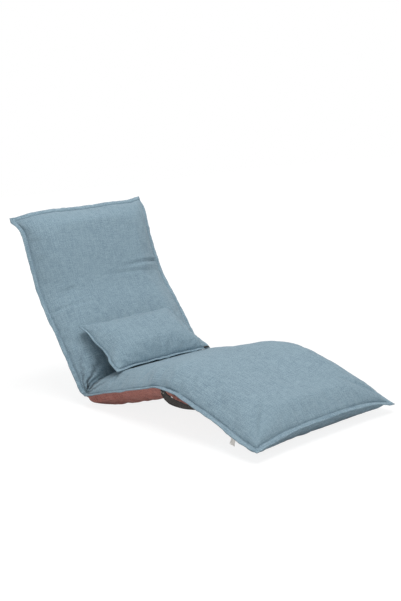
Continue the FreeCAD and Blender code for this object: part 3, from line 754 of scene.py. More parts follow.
def mesh_from(name, verts, quads, coords, kinds=None, materials=(), places=None):
    mesh = bpy.data.meshes.new(name)
    mesh.from_pydata([tuple(v) for v in verts], [], [tuple(int(i) for i in q) for q in quads])
    layer = mesh.uv_layers.new(name="cloth")
    layer.data.foreach_set("uv", np.asarray(coords, np.float32).reshape(-1))
    for material in materials:
        mesh.materials.append(material)
    if kinds is not None:
        mesh.polygons.foreach_set("material_index", np.asarray(kinds, np.int32))
    if places is not None:
        attribute = mesh.attributes.new("place", "FLOAT_VECTOR", "POINT")
        attribute.data.foreach_set("vector", np.asarray(places, np.float32).reshape(-1))
    mesh.polygons.foreach_set("use_smooth", np.ones(len(quads), bool))
    mesh.update()
    piece = bpy.data.objects.new(name, mesh)
    bpy.context.scene.collection.objects.link(piece)
    return piece


print("meshes so far", len(bpy.data.meshes))

# %% [markdown] Blender's cloth simulation fills the bag. The seam and the bottom of the waist
# crease are pinned, the cloth is cut a little larger than the pad, and a steady pressure pushes
# it out, so it swells between the seams and puckers where the seam holds it back. Gravity is
# off, because foam holds a pad up. The motion is capped, so that the pad keeps to its real
# size.

# %% Cloth simulation
SIM_FRAMES = 20
MOTION_CAP = 0.016
COVER_FILL = {"pressure": 4.0, "slack": 0.012, "bending": 0.6}
PILLOW_FILL = {"pressure": 4.0, "slack": 0.03, "bending": 0.4}
PIN_LENGTH = 0.012
STIFFNESS = (("tension", 18.0), ("compression", 12.0), ("shear", 6.0))


def simulated(piece, pinned, pressure, slack, bending):
    """Places of the vertices after the cloth has been blown up for a few frames."""
    group = piece.vertex_groups.new(name="pinned")
    for weight in np.unique(pinned[pinned > 0]):
        group.add([int(i) for i in np.nonzero(pinned == weight)[0]], float(weight), "REPLACE")
    cloth = piece.modifiers.new("cloth", "CLOTH")
    settings = cloth.settings
    settings.quality = 6
    settings.mass = 0.3
    for kind, value in STIFFNESS:
        setattr(settings, kind + "_stiffness", value)
    settings.bending_stiffness = bending
    settings.air_damping = 1.5
    settings.use_pressure = True
    settings.uniform_pressure_force = pressure
    settings.shrink_min = -slack
    settings.effector_weights.gravity = 0.0
    settings.vertex_group_mass = "pinned"
    cloth.collision_settings.use_collision = False
    cloth.collision_settings.use_self_collision = False
    cloth.point_cache.frame_start = 1
    cloth.point_cache.frame_end = SIM_FRAMES
    scene = bpy.context.scene
    for number in range(1, SIM_FRAMES + 1):
        scene.frame_set(number)
    shaped = piece.evaluated_get(bpy.context.evaluated_depsgraph_get())
    result = coordinates(shaped.data)
    piece.modifiers.remove(cloth)
    scene.frame_set(1)
    return result


print("the cloth runs for", SIM_FRAMES, "frames")

# %% [markdown]
# After the run each vertex may have moved by the cap and no further. The pins fade out over two
# centimetres away from the waist crease, so the cloth leaves it softly.

# %% Fill the cover
def capped(start, end, limit):
    move = end - start
    size = np.linalg.norm(move, axis=1)[:, None]
    return start + move * np.minimum(1.0, limit / np.maximum(size, 1e-9))


def reshape(piece, points):
    piece.data.vertices.foreach_set("co", points.reshape(-1))
    piece.data.update()


def fill_bag(piece, pinned, limit, fill):
    """Fill a bag, and write the new shape into its mesh."""
    start = coordinates(piece.data)
    result = capped(start, simulated(piece, pinned, **fill), limit)
    moved = 1000 * np.linalg.norm(result - start, axis=1)
    print(piece.name, "moved", round(moved.mean(), 1), "mm, most", round(moved.max(), 1))
    reshape(piece, result)


cover = mesh_from("cover_bag", cover_verts, cover_quads, cover_uv, places=cover_places)
pins = np.where(cover_places[:, 2] == 0, 1.0, 0.0)
pins = np.maximum(pins, np.round(0.9 * np.exp(-(cover_places[:, 0] / PIN_LENGTH) ** 2), 1))
fill_bag(cover, pins, MOTION_CAP, COVER_FILL)
print("pinned", int((pins == 1).sum()), "vertices firmly")

# %% [markdown]
# The filled bag gets one subdivision, so that small folds have vertices to live in. Folds that
# a short simulation can't find are pushed in later along the surface's own normals. Value noise,
# a smoothed table of random numbers, keeps them uneven but the same on every run.

# %% Subdivision and noise
TABLE = 256


def subdivided(piece):
    """Cut every quad in four, and return the new vertices' places."""
    modifier = piece.modifiers.new("subdivision", "SUBSURF")
    modifier.levels = modifier.render_levels = 1
    shaped = piece.evaluated_get(bpy.context.evaluated_depsgraph_get())
    mesh = bpy.data.meshes.new_from_object(shaped)
    piece.modifiers.clear()
    old = piece.data
    piece.data = mesh
    bpy.data.meshes.remove(old)
    return table_of(mesh.attributes["place"].data, "vector", 3)


def ripple(a, b, wave, seed):
    """Smooth noise from -1 to 1 over two lengths, with about that wavelength."""
    table = np.random.default_rng(seed).uniform(-1, 1, (TABLE, TABLE))
    x, y = a / wave + 100.0, b / wave + 100.0
    i, j = np.floor(x).astype(int), np.floor(y).astype(int)
    u, v = smooth(x - i), smooth(y - j)
    i, j, i2, j2 = i % TABLE, j % TABLE, (i + 1) % TABLE, (j + 1) % TABLE
    low = table[i, j] * (1 - u) + table[i2, j] * u
    high = table[i, j2] * (1 - u) + table[i2, j2] * u
    return low * (1 - v) + high * v


def waves(a, b, rows):
    """The sum of several ripples, each a row with its height, its wavelength and its seed."""
    return sum(height * ripple(a, b, wave, seed) for height, wave, seed in rows)


def bump_line(t, width):
    """A sunk line with a low lip on each side, from 0 at the sides to -1 in the middle."""
    lips = np.exp(-((np.abs(t) - 2.1 * width) / (1.3 * width)) ** 2)
    return 0.45 * lips - np.exp(-(t / width) ** 2)


cover_places = subdivided(cover)
print("cover", len(cover_places), "vertices")

# %% [markdown]
# Every fold is a formula of the vertex's place. Rows of three numbers are ripples: a height, a
# wavelength and the seed of the noise. There are slow dents, puckers that die out away
# from the seam, the fan of wrinkles at each end of the waist crease, single creases across the
# neck, drag lines from the carry handle over the knee, and a fuller far side on the leg.

# %% Folds of the cover
DENTS = ((0.0020, 0.16, 3), (0.0009, 0.05, 4))
SIDE_PUCKERS = ((0.0016, 0.013, 5),)
END_PUCKERS = ((0.0014, 0.015, 6),)
LOOSE_CLOTH = ((0.0028, 0.034, 9),)
PUCKER_REACH, PUCKER_STRETCH = 0.030, 0.3
FOLD_HEIGHT, FOLD_REACH, FOLD_START = 0.0068, 0.10, 0.018
WIDE_FOLDS, THIN_FOLDS = 8, 25
DRAG_HEIGHT, DRAG_LENGTH = 0.0026, 0.12
DRAG_ALONG, DRAG_ACROSS = 60, 22
# Creases: distance from the neck, slope, depth, width, the side where it is, its start and ramp
CREASES = (
    (-0.056, -0.05, 0.0070, 0.0075, FAR, 0.02, 0.24),
    (-0.035, 0.06, 0.0026, 0.010, FAR, -0.10, 0.30),
    (0.085, 0.04, 0.0028, 0.007, NEAR, 0.07, 0.16),
    (0.012, -0.05, 0.0013, 0.008, NEAR, 0.07, 0.16),
)
# Swells of the far side: place along the seam, length and height
SWELLS = ((S_KNEE + 0.17, 0.16, 0.018), (S_KNEE - 0.13, 0.13, -0.014))


def dents_and_puckers(s, y, side):
    edge = np.maximum(half_at(s) - np.abs(y), 0.0)
    end = np.maximum(np.minimum(s - S_HEAD, S_FOOT - s), 0.0)
    relief = waves(s, y, DENTS)
    relief += np.exp(-edge / PUCKER_REACH) * waves(s, y * PUCKER_STRETCH, SIDE_PUCKERS)
    relief += np.exp(-end / PUCKER_REACH) * waves(y, s * PUCKER_STRETCH, END_PUCKERS)
    loose = (side < 0) * smooth((-0.12 - y) / 0.1) * smooth(edge / 0.01)
    return relief + loose * waves(s, y, LOOSE_CLOTH)


def waist_fan(s, y, climb):
    """Wrinkles that run out from both ends of the waist crease, at even angles round it."""
    relief = 0.0
    for edge, seed in ((NEAR, 7), (FAR, 8)):
        across = half_at(s) - edge * y + np.maximum(climb, 0.0)
        reach = np.hypot(s, across)
        angle = np.arctan2(across, s)
        share = np.clip(np.sin(angle), 0, 1) ** 0.7 * np.exp(-reach / FOLD_REACH)
        share *= 1 - np.exp(-reach / FOLD_START)
        wide = np.abs(np.cos(WIDE_FOLDS * angle + 1.2 * ripple(reach, 0.12 * angle, 0.06, seed)))
        thin = np.cos(THIN_FOLDS * angle + 2.0 * ripple(reach, 0.1 * angle, 0.05, seed + 20))
        relief = relief + FOLD_HEIGHT * share * (0.8 - 1.6 * wide + 0.5 * thin)
    return relief


def cover_relief(s, y, side, climb):
    folds = waist_fan(s, y, climb)
    for off_neck, slope, depth, width, flank, start, ramp in CREASES:
        share = smooth((flank * y - start) / ramp)
        folds = folds + depth * share * bump_line(s - (S_NECK + off_neck + slope * y), width)
    drag = np.sin(DRAG_ALONG * (s - S_KNEE) + DRAG_ACROSS * y)
    drag = DRAG_HEIGHT * drag * np.exp(-((s - S_KNEE) / DRAG_LENGTH) ** 2)
    folds = folds + smooth((-0.02 - y) / 0.2) * drag
    for place, length, height in SWELLS:
        folds = folds + smooth((y - 0.02) / 0.2) * height * np.exp(-((s - place) / length) ** 2)
    return dents_and_puckers(s, y, side) + np.clip(side, 0.0, 1.0) * folds


print("creases", len(CREASES), "and two fans of folds")

# %% [markdown]
# Three more movements finish the cover. The loose rust cloth hangs down along the near side. The
# empty corners stick out as ears, each with a pull of its own. Under the zip the base is drawn
# flat, so that the zip lies on it. Nothing goes through the floor.

# %% Shape the cover
SEAT_SAG, KNEE_SAG = 0.009, 0.026
KNEE_SAG_PLACE, KNEE_SAG_LENGTH = S_KNEE + 0.035, 0.055


def base_sag(s, y, side):
    """How far the loose rust cloth hangs down along the near side, most of all at the knee."""
    edge = np.maximum(half_at(s) - np.abs(y), 0.0)
    near = smooth((-y - 0.14) / 0.08) * smooth(edge / 0.012) * (side < 0)
    seat = SEAT_SAG * smooth(s / 0.04) * smooth((S_KNEE - s) / 0.1)
    knee_part = KNEE_SAG * np.exp(-((s - KNEE_SAG_PLACE) / KNEE_SAG_LENGTH) ** 2)
    return near * (seat + knee_part)


EARS = (
    (S_HEAD, -HALF_WIDTH, (-0.032, -0.018, -0.010)),
    (S_HEAD, HALF_WIDTH, (-0.020, 0.003, 0.014)),
    (S_FOOT, -HALF_WIDTH, (-0.005, 0.002, 0.003)),
    (S_FOOT, HALF_WIDTH, (-0.004, -0.005, -0.003)),
)
EAR_REACH = 0.042
FLOOR_CLEAR = 0.0006
ZIP_PLACE = 0.250
ZIP_DEPTH = 0.0438
ZIP_PATCH = (0.034, 0.120)
PATCH_EDGE = 0.02


def ear_shift(s, y):
    """The empty corners of the cover, which stick out past the pad."""
    shift = np.zeros((len(s), 3))
    for corner_s, corner_y, vector in EARS:
        away = np.hypot(s - corner_s, y - corner_y)
        shift += np.exp(-(away / EAR_REACH) ** 1.3)[:, None] * np.array(vector)
    return shift


def off_seam(points, s):
    """How far points stand above the seam line, square to the section."""
    return ((points[:, [0, 2]] - seam_at(s)) * up_at(s)).sum(1)


cover_s, cover_y, cover_side = cover_places.T
cover_co = coordinates(cover.data)
climb = off_seam(cover_co, cover_s)
cover_co += normals_of(cover.data) * cover_relief(cover_s, cover_y, cover_side, climb)[:, None]
cover_co += ear_shift(cover_s, cover_y)
cover_co[:, 2] -= base_sag(cover_s, cover_y, cover_side)
over_zip = smooth((ZIP_PATCH[0] - np.abs(cover_s - ZIP_PLACE)) / PATCH_EDGE)
over_zip *= smooth((ZIP_PATCH[1] - np.abs(cover_y)) / PATCH_EDGE) * (cover_side < -0.5)
raise_by = np.maximum(-off_seam(cover_co, cover_s) - ZIP_DEPTH, 0.0) * over_zip
cover_co[:, [0, 2]] += up_at(cover_s) * raise_by[:, None]
cover_co[:, 2] = np.maximum(cover_co[:, 2], FLOOR_CLEAR)
reshape(cover, cover_co)
print("cover from", round(cover_co[:, 2].min(), 4), "to", round(cover_co[:, 2].max(), 3), "high")

# %% [markdown]
# The flange is the two plies of the seam allowance, turned and topstitched, that stand out all
# round the bag. It is a strip with a rounded double edge, swept round the seam: it dips under
# the stitches and swells between them and its edge. It bends up and down a little, because cloth
# that has been sewn is never straight, and at a corner its two sides meet in a point.

# %% Flange
FLANGE = 0.018
FLANGE_DROOP = 0.0015
HEAD_DROOP = 0.013
UPPER_PLY = ((-0.30, 0.6), (0.02, 0.7), (0.12, 0.75), (0.30, 1.7), (0.60, 2.1), (0.86, 1.9),
             (0.97, 1.3), (0.99, 0.6))
LOWER_PLY = tuple((out, -high) for out, high in reversed(UPPER_PLY))
FLANGE_SECTION = UPPER_PLY + ((0.94, 0.0),) + LOWER_PLY
MILLIMETRE = 0.001


def seam_ring(grid):
    """Vertices of the seam in order: near side, foot end, far side, head end."""
    return np.concatenate([grid[:-1, 0], grid[-1, :-1], grid[:0:-1, -1], grid[0, :0:-1]])


def ring_ways(ring, grid, places, first_way, last_way):
    """For each ring point, the way out of the pad; the two ways add up at a corner."""
    outward = np.zeros((len(ring), 3))
    sides = np.isin(ring, grid[:, [0, -1]])
    outward[sides, 1] = np.sign(places[ring[sides], 1])
    for row, way in ((grid[0], first_way), (grid[-1], last_way)):
        ends = np.isin(ring, row)
        outward[ends, 0] += way[0]
        outward[ends, 2] += way[1]
    return outward


def swept_flange(points, outward, upward, width, wave, droop):
    """Vertices, quads and UV corners of the strip round a closed seam."""
    count, lanes = len(points), len(FLANGE_SECTION)
    run = walked_along(points)
    verts = np.zeros((count, lanes, 3))
    coords = np.zeros((count, lanes, 2))
    for lane, (out, high) in enumerate(FLANGE_SECTION):
        lift = high * MILLIMETRE + (wave - droop) * max(out, 0.0) ** 2
        verts[:, lane] = points + outward * (out * width) + upward * lift[:, None]
        coords[:, lane, 0] = run
        coords[:, lane, 1] = lane * width * 0.12
    index = np.arange(count * lanes).reshape(count, lanes)
    step = np.roll(coords, -1, axis=0)
    step[-1, :, 0] = run[-1] + 0.01

    def strips(here, following):
        """The four corners of every quad, lane by lane."""
        return np.concatenate([
            np.stack([here[:, k], following[:, k], following[:, k + 1], here[:, k + 1]], 1)
            for k in range(lanes - 1)])

    return verts.reshape(-1, 3), strips(index, np.roll(index, -1, axis=0)), strips(coords, step)


print("the flange's section has", len(FLANGE_SECTION), "points")

# %% [markdown]
# The cover's flange follows its own seam. At the head it droops more, and it stays off the floor.

# %% Flange of the cover
FLANGE_WAVES = ((0.0024, 0.055, 11), (0.0014, 0.022, 12))
DROOP_LENGTH = 0.03

ring = seam_ring(cover_index[0])
ring_s, ring_y = cover_s[ring], cover_y[ring]
ring_out = ring_ways(ring, cover_index[0], cover_places, head_way, leg_way)
cover_ring_up = np.zeros((len(ring), 3))
cover_ring_up[:, [0, 2]] = up_at(ring_s)
wave = waves(ring_s, ring_y, FLANGE_WAVES)
droop = FLANGE_DROOP + HEAD_DROOP * smooth(1 - (ring_s - S_HEAD) / DROOP_LENGTH)
flange_verts, flange_quads, flange_uv = swept_flange(
    cover_co[ring], ring_out, cover_ring_up, FLANGE, wave, droop)
flange_verts[:, 2] = np.maximum(flange_verts[:, 2], FLOOR_CLEAR)
print("flange", len(flange_quads), "quads round", len(ring), "seam points")

# %% [markdown]
# The chair bends at three joints, and one piece can bend between two bodies only. So the cover
# is cut into three pieces, in the middle of the back and in the middle of the seat, where nothing
# bends. Both sides of a cut keep the same vertices and the same normals, so the cut can't be
# seen. The underside of the seat is made of rust-red cloth, so it is cut out as pieces of its own.

# %% Cut the cover into pieces
CUT_BACK = -0.215
CUT_SEAT = 0.300
RUST_PAST_KNEE = 0.18
UPPER, MIDDLE, LOWER, RUST_REAR, RUST_FRONT = range(5)
PIECE_NAMES = {
    UPPER: ("head_and_upper_back_cover", blue_linen, "blue_linen_cloth"),
    MIDDLE: ("lower_back_and_seat_cover", blue_linen, "blue_linen_cloth"),
    LOWER: ("front_seat_and_leg_cover", blue_linen, "blue_linen_cloth"),
    RUST_REAR: ("seat_rear_base", rust_cloth, "rust_base_cloth"),
    RUST_FRONT: ("seat_front_base", rust_cloth, "rust_base_cloth"),
}


def section_kind(s):
    return np.where(s < CUT_BACK, UPPER, np.where(s < CUT_SEAT, MIDDLE, LOWER))


def cut_out(sources, kind):
    """Gather one kind of quads from several meshes, with their vertices, UV and normals."""
    verts, quads, coords, normals, total = [], [], [], [], 0
    for source_verts, source_quads, source_uv, source_kinds, source_normals in sources:
        chosen = source_kinds == kind
        used, renumbered = np.unique(source_quads[chosen], return_inverse=True)
        if not len(used):
            continue
        verts.append(source_verts[used])
        normals.append(source_normals[used])
        quads.append(renumbered.reshape(-1, 4) + total)
        coords.append(source_uv[chosen])
        total += len(used)
    return [np.concatenate(group) for group in (verts, quads, coords, normals)]


def piece_from(name, material, verts, quads, coords, normals):
    piece = mesh_from(name, verts, quads, coords, materials=(material,))
    piece.data.normals_split_custom_set_from_vertices([tuple(n) for n in normals])
    return piece


print("cuts at", CUT_BACK, "and", CUT_SEAT)

# %% [markdown]
# The cover and its flange are sorted into the five kinds quad by quad, and each piece takes its
# share of both. Then the uncut shapes aren't needed any more.

# %% Five pieces
cover_quads, cover_uv = quads_of(cover.data), uv_of(cover.data)
quad_s, quad_side = cover_s[cover_quads].mean(1), cover_side[cover_quads].mean(1)
cover_kinds = section_kind(quad_s)
rust = (quad_side < 0) & (quad_s > 0) & (quad_s < S_KNEE + RUST_PAST_KNEE)
cover_kinds = np.where(rust, np.where(quad_s < CUT_SEAT, RUST_REAR, RUST_FRONT), cover_kinds)
flange_shape = mesh_from("flange_shape", flange_verts, flange_quads, flange_uv)
flange_kinds = section_kind(np.repeat(ring_s, len(FLANGE_SECTION))[flange_quads].mean(1))
sources = (
    (cover_co, cover_quads, cover_uv, cover_kinds, normals_of(cover.data)),
    (flange_verts, flange_quads, flange_uv, flange_kinds, normals_of(flange_shape.data)),
)
covers = {}
for kind, (name, material, slot_name) in PIECE_NAMES.items():
    covers[kind] = piece_from(name, material, *cut_out(sources, kind))
    print(name, len(covers[kind].data.polygons), "quads")
for scrap in (cover, flange_shape):
    bpy.data.objects.remove(scrap)

# %% [markdown]
# The blue linen's pleats need three numbers at every vertex: the angle round the pinched end of
# the waist crease, the distance from it, and how strong the pleats are there.

# %% Coordinates for the pleats
PLEAT_SPREAD, PLEAT_REACH, PLEAT_START = 0.95, 0.12, 0.012


def pleat_coordinates(points):
    along = np.array([waist_up[1], -waist_up[0]])
    from_waist = points[:, [0, 2]] - waist
    ahead = (from_waist * along).sum(1)
    across = np.maximum(HALF_WIDTH - np.abs(points[:, 1]), 0.0)
    off = np.hypot((from_waist * waist_up).sum(1), across)
    way, reach = np.arctan2(off, ahead), np.hypot(off, ahead)
    share = np.exp(-((way - math.pi / 2) / PLEAT_SPREAD) ** 2)
    share *= np.exp(-(reach / PLEAT_REACH) ** 2) * smooth(reach / PLEAT_START)
    return np.stack([way, reach, share], 1)


pleats = pleat_coordinates(coordinates(covers[MIDDLE].data))
pleat_layer = covers[MIDDLE].data.attributes.new("pleats", "FLOAT_VECTOR", "POINT")
pleat_layer.data.foreach_set("vector", pleats.astype(np.float32).reshape(-1))
print("vertices with strong pleats", int((pleats[:, 2] > 0.5).sum()))

def way_across(before, after):
    return (after - before) / np.linalg.norm(after - before)


def bend(piece):
    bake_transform(piece)


for kind, piece in covers.items():
    bend(piece)
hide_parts("head_top_cover", "head_base_cover", "head_foam")
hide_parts("back_top_cover", "back_base_cover", "back_foam", "seat_top_cover", "seat_foam")
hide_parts("leg_top_cover", "leg_base_cover", "leg_foam")
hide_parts("seat_base_cover")

# %% [markdown]
# The lumbar pillow is a second bag, made and filled in the same way. It leans from the back onto
# the seat, so its lower corner stands on the seat and its upper edge rests near the back.

# %% Pillow bag
PILLOW_WIDTH = 0.397
PILLOW_CROWN = 0.040
PILLOW_BASE = 0.046
PILLOW_FLANGE = 0.0105
PILLOW_DRAW_IN = 0.007
PILLOW_WAVE = 0.003
PILLOW_CAP = 0.014
PILLOW_ROWS, PILLOW_COLUMNS = 42, 53
PILLOW_SQUARENESS = 3.2
PAD_HEIGHT = 0.062
PILLOW_ON_BACK, PILLOW_OFF_BACK = 0.243, 0.020
PILLOW_ON_SEAT, PILLOW_OFF_SEAT = 0.188, 0.002

back_up, seat_up = course(90 - BACK_LEAN), course(90 + SEAT_RISE)
pillow_top = waist + back_way * PILLOW_ON_BACK + back_up * (PAD_HEIGHT + PILLOW_OFF_BACK)
pillow_foot = waist + seat_way * PILLOW_ON_SEAT + seat_up * (PAD_HEIGHT + PILLOW_OFF_SEAT)
pillow_run = way_across(pillow_foot, pillow_top)
pillow_foot = pillow_foot + pillow_run * PILLOW_FLANGE
PILLOW_HEIGHT = np.linalg.norm(pillow_top - pillow_foot) - PILLOW_FLANGE
pillow_up = np.array([pillow_run[1], -pillow_run[0]])
pillow_rows = np.linspace(-PILLOW_HEIGHT, 0.0, PILLOW_ROWS)


def pillow_fullness(s):
    """How full the pillow is, from nought at its upper and lower seam to one in the middle."""
    inside = np.minimum(s + PILLOW_HEIGHT, -s) / (PILLOW_HEIGHT * 0.42)
    return np.sqrt(1 - (1 - np.clip(inside, 0, 1)) ** 2) ** 0.9


fullness = pillow_fullness(pillow_rows)
share_down = -pillow_rows / PILLOW_HEIGHT
pillow_half = PILLOW_WIDTH / 2 - PILLOW_DRAW_IN * np.sin(np.pi * share_down)
pillow_half += PILLOW_WAVE * np.sin(4 * np.pi * share_down)
pillow_verts, pillow_quads, pillow_uv, pillow_places, pillow_index = bag(
    pillow_rows, pillow_foot - pillow_rows[:, None] * pillow_run, np.tile(pillow_up, (PILLOW_ROWS, 1)),
    pillow_half, PILLOW_CROWN * fullness, PILLOW_BASE * fullness,
    PILLOW_COLUMNS, PILLOW_SQUARENESS, TOP_FULLNESS)
pillow = mesh_from("pillow_bag", pillow_verts, pillow_quads, pillow_uv, places=pillow_places)
pillow_pins = np.where(pillow_places[:, 2] == 0, 1.0, 0.0)
fill_bag(pillow, pillow_pins, PILLOW_CAP, PILLOW_FILL)
pillow_places = subdivided(pillow)
print("pillow", PILLOW_WIDTH, "wide", round(float(PILLOW_HEIGHT), 3), "high")

# %% [markdown]
# The pillow gets its own dents, puckers, pulled corners and flange, as the cover did. It rides
# with its own body, because it lifts off.

# %% Pillow
PILLOW_SHIFT = -0.022
CORNER_PULL, CORNER_REACH = 0.006, 0.03
PILLOW_DENTS = ((0.0016, 0.07, 21),)
PILLOW_PUCKERS = ((0.0022, 0.018, 22),)
PILLOW_FLANGE_WAVES = ((0.0042, 0.045, 23),)


def pillow_relief(s, y):
    edge = np.minimum(PILLOW_WIDTH / 2 - np.abs(y), np.minimum(s + PILLOW_HEIGHT, -s))
    puckers = np.exp(-np.maximum(edge, 0.0) / PUCKER_REACH) * waves(s, y, PILLOW_PUCKERS)
    return waves(s, y, PILLOW_DENTS) + puckers


def crushed(piece):
    """Give the piece a mesh of its own."""
    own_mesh(piece)


pillow_s, pillow_y = pillow_places[:, 0], pillow_places[:, 1]
pillow_co = coordinates(pillow.data)
pillow_co += normals_of(pillow.data) * pillow_relief(pillow_s, pillow_y)[:, None]
for side in (-1, 1):
    for end, way in ((-PILLOW_HEIGHT, pillow_run), (0.0, -pillow_run)):
        away = np.hypot(pillow_s - end, pillow_y - side * PILLOW_WIDTH / 2)
        pull = CORNER_PULL * np.exp(-(away / CORNER_REACH) ** 1.3)
        pillow_co[:, [0, 2]] += pull[:, None] * way
        pillow_co[:, 1] += pull * side
ring = seam_ring(pillow_index[0])
ring_out = ring_ways(ring, pillow_index[0], pillow_places, pillow_run, -pillow_run)
pillow_ring_up = np.tile([pillow_up[0], 0.0, pillow_up[1]], (len(ring), 1))
wave = waves(pillow_s[ring], pillow_y[ring], PILLOW_FLANGE_WAVES)
pillow_flange, strip_quads, strip_uv = swept_flange(
    pillow_co[ring], ring_out, pillow_ring_up, PILLOW_FLANGE, wave, 0.0)
strip = mesh_from("pillow_strip", pillow_flange, strip_quads, strip_uv)
bag_quads = quads_of(pillow.data)
pillow_sources = (
    (pillow_co, bag_quads, uv_of(pillow.data), np.zeros(len(bag_quads), int), normals_of(pillow.data)),
    (pillow_flange, strip_quads, strip_uv, np.zeros(len(strip_quads), int), normals_of(strip.data)),
)
verts, quads, coords, normals = cut_out(pillow_sources, 0)
verts[:, 1] += PILLOW_SHIFT
lumbar_pillow = piece_from("lumbar_pillow", blue_linen, verts, quads, coords, normals)
for scrap in (pillow, strip):
    bpy.data.objects.remove(scrap)
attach(lumbar_pillow, "pillow")
crushed(lumbar_pillow)
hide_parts("pillow_front_cover", "pillow_rear_cover", "pillow_filling")
print("pillow", len(lumbar_pillow.data.polygons), "quads")

# %% [markdown]
# Stitches and zip teeth are rows of one small shape. One geometry node tree makes every such row:
# it turns a line of edges into a curve, spaces points along it, sets a copy on each point along
# the curve's direction, and varies their size a little from a fixed seed. The copies are made
# real and get their material, and the result is kept as a plain mesh.

# %% Tree for rows of copies
def make_row_tree():
    tree = bpy.data.node_groups.new("row_of_copies", "GeometryNodeTree")
    wanted = (
        ("Line", "Geometry", None), ("Copy", "Object", None), ("Pitch", "Float", 0.005),
        ("Unevenness", "Float", 0.12), ("Seed", "Int", 4), ("Material", "Material", None))
    names = {}
    for label, kind, value in wanted:
        socket = tree.interface.new_socket(name=label, in_out="INPUT", socket_type="NodeSocket" + kind)
        if value is not None:
            socket.default_value = value
        names[label] = socket.identifier
    tree.interface.new_socket(name="Row", in_out="OUTPUT", socket_type="NodeSocketGeometry")
    g = Graph(tree)
    given = g.node("NodeGroupInput").outputs
    curve = g.add("GeometryNodeMeshToCurve", {"Mesh": given["Line"]}).outputs["Curve"]
    points = g.add("GeometryNodeResampleCurve", {"Curve": curve, "Length": given["Pitch"]}, mode="LENGTH")
    along = g.node("GeometryNodeInputTangent").outputs[0]
    turn = g.add("FunctionNodeAlignRotationToVector", {"Vector": along}, axis="X")
    source = g.add("GeometryNodeObjectInfo", {"Object": given["Copy"]})
    size = g.node("FunctionNodeRandomValue", data_type="FLOAT")
    g.wire(g.minus(1.0, given["Unevenness"]), size.inputs[2])
    g.wire(g.plus(1.0, given["Unevenness"]), size.inputs[3])
    g.wire(given["Seed"], size.inputs["Seed"])
    copies = g.add("GeometryNodeInstanceOnPoints", {
        "Points": points.outputs["Curve"], "Instance": source.outputs["Geometry"],
        "Rotation": turn.outputs["Rotation"], "Scale": size.outputs[1]})
    real = g.add("GeometryNodeRealizeInstances", {"Geometry": copies.outputs["Instances"]})
    paint = g.add("GeometryNodeSetMaterial", {
        "Geometry": real.outputs["Geometry"], "Material": given["Material"]})
    g.wire(paint.outputs["Geometry"], g.node("NodeGroupOutput").inputs["Row"])
    return tree, names


row_tree, row_inputs = make_row_tree()
print("row inputs", sorted(row_inputs))

# %% [markdown]
# A row piece is that tree run on one line of edges. The small shape that is repeated is a
# capsule, a short round bar with rounded ends, which does for a stitch, a tack and a zip tooth.

# %% Rows and capsules
UNEVENNESS = 0.12
CAPSULE_SHAPE = ((-1.0, 0.35), (-0.86, 0.8), (-0.45, 1.0), (0.45, 1.0), (0.86, 0.8), (1.0, 0.35))


def row_piece(name, points, edges, copy, pitch, material, uneven=UNEVENNESS):
    """Copies of a small shape along a line of edges, as one plain mesh."""
    mesh = bpy.data.meshes.new(name + "_line")
    mesh.from_pydata([tuple(p) for p in points], [tuple(int(i) for i in e) for e in edges], [])
    carrier = bpy.data.objects.new(name + "_line", mesh)
    bpy.context.scene.collection.objects.link(carrier)
    modifier = carrier.modifiers.new("row", "NODES")
    modifier.node_group = row_tree
    settings = {"Copy": copy, "Pitch": pitch, "Unevenness": uneven, "Material": material}
    for label, value in settings.items():
        modifier[row_inputs[label]] = value
    carrier.update_tag()
    shaped = carrier.evaluated_get(bpy.context.evaluated_depsgraph_get())
    made = bpy.data.meshes.new_from_object(shaped)
    made.name = name
    made.polygons.foreach_set("use_smooth", np.ones(len(made.polygons), bool))
    piece = bpy.data.objects.new(name, made)
    bpy.context.scene.collection.objects.link(piece)
    bpy.data.objects.remove(carrier)
    print(name, len(made.polygons), "faces")
    return piece


def face_outwards(piece):
    work = bmesh.new()
    work.from_mesh(piece.data)
    bmesh.ops.recalc_face_normals(work, faces=work.faces)
    work.to_mesh(piece.data)
    work.free()


def capsule(name, length, radius, sides=8):
    verts, faces = [], []
    for place, share in CAPSULE_SHAPE:
        for k in range(sides):
            angle = 2 * math.pi * k / sides
            y, z = math.cos(angle) * radius * share, math.sin(angle) * radius * share
            verts.append((place * length / 2, y, z))
    for first in range(0, (len(CAPSULE_SHAPE) - 1) * sides, sides):
        for k in range(sides):
            a, b = first + k, first + (k + 1) % sides
            faces.append((a, b, b + sides, a + sides))
    faces.append(tuple(range(sides))[::-1])
    faces.append(tuple(range(len(verts) - sides, len(verts))))
    mesh = bpy.data.meshes.new(name)
    mesh.from_pydata(verts, [], faces)
    copy = bpy.data.objects.new(name, mesh)
    bpy.context.scene.collection.objects.link(copy)
    face_outwards(copy)
    return copy


stitch = capsule("stitch", 0.0038, 0.0006)
tack = capsule("tack", 0.0045, 0.0011)
tooth = capsule("tooth", 0.0011, 0.0009, 6)
print("a stitch has", len(stitch.data.polygons), "faces")

# %% [markdown]
# Hard and glossy things need other surfaces than cloth. A second group makes the marks that
# metal and paint share: a fine grain stretched one way, wide soft stains, and chips that gather
# where the surface is exposed. It works from object coordinates, so every bracket gets its own.

# %% Marks of metal and paint
GRAIN_STRETCH = 0.06
SPOT_SHARE = 0.7
CHIP_EDGE = 0.03


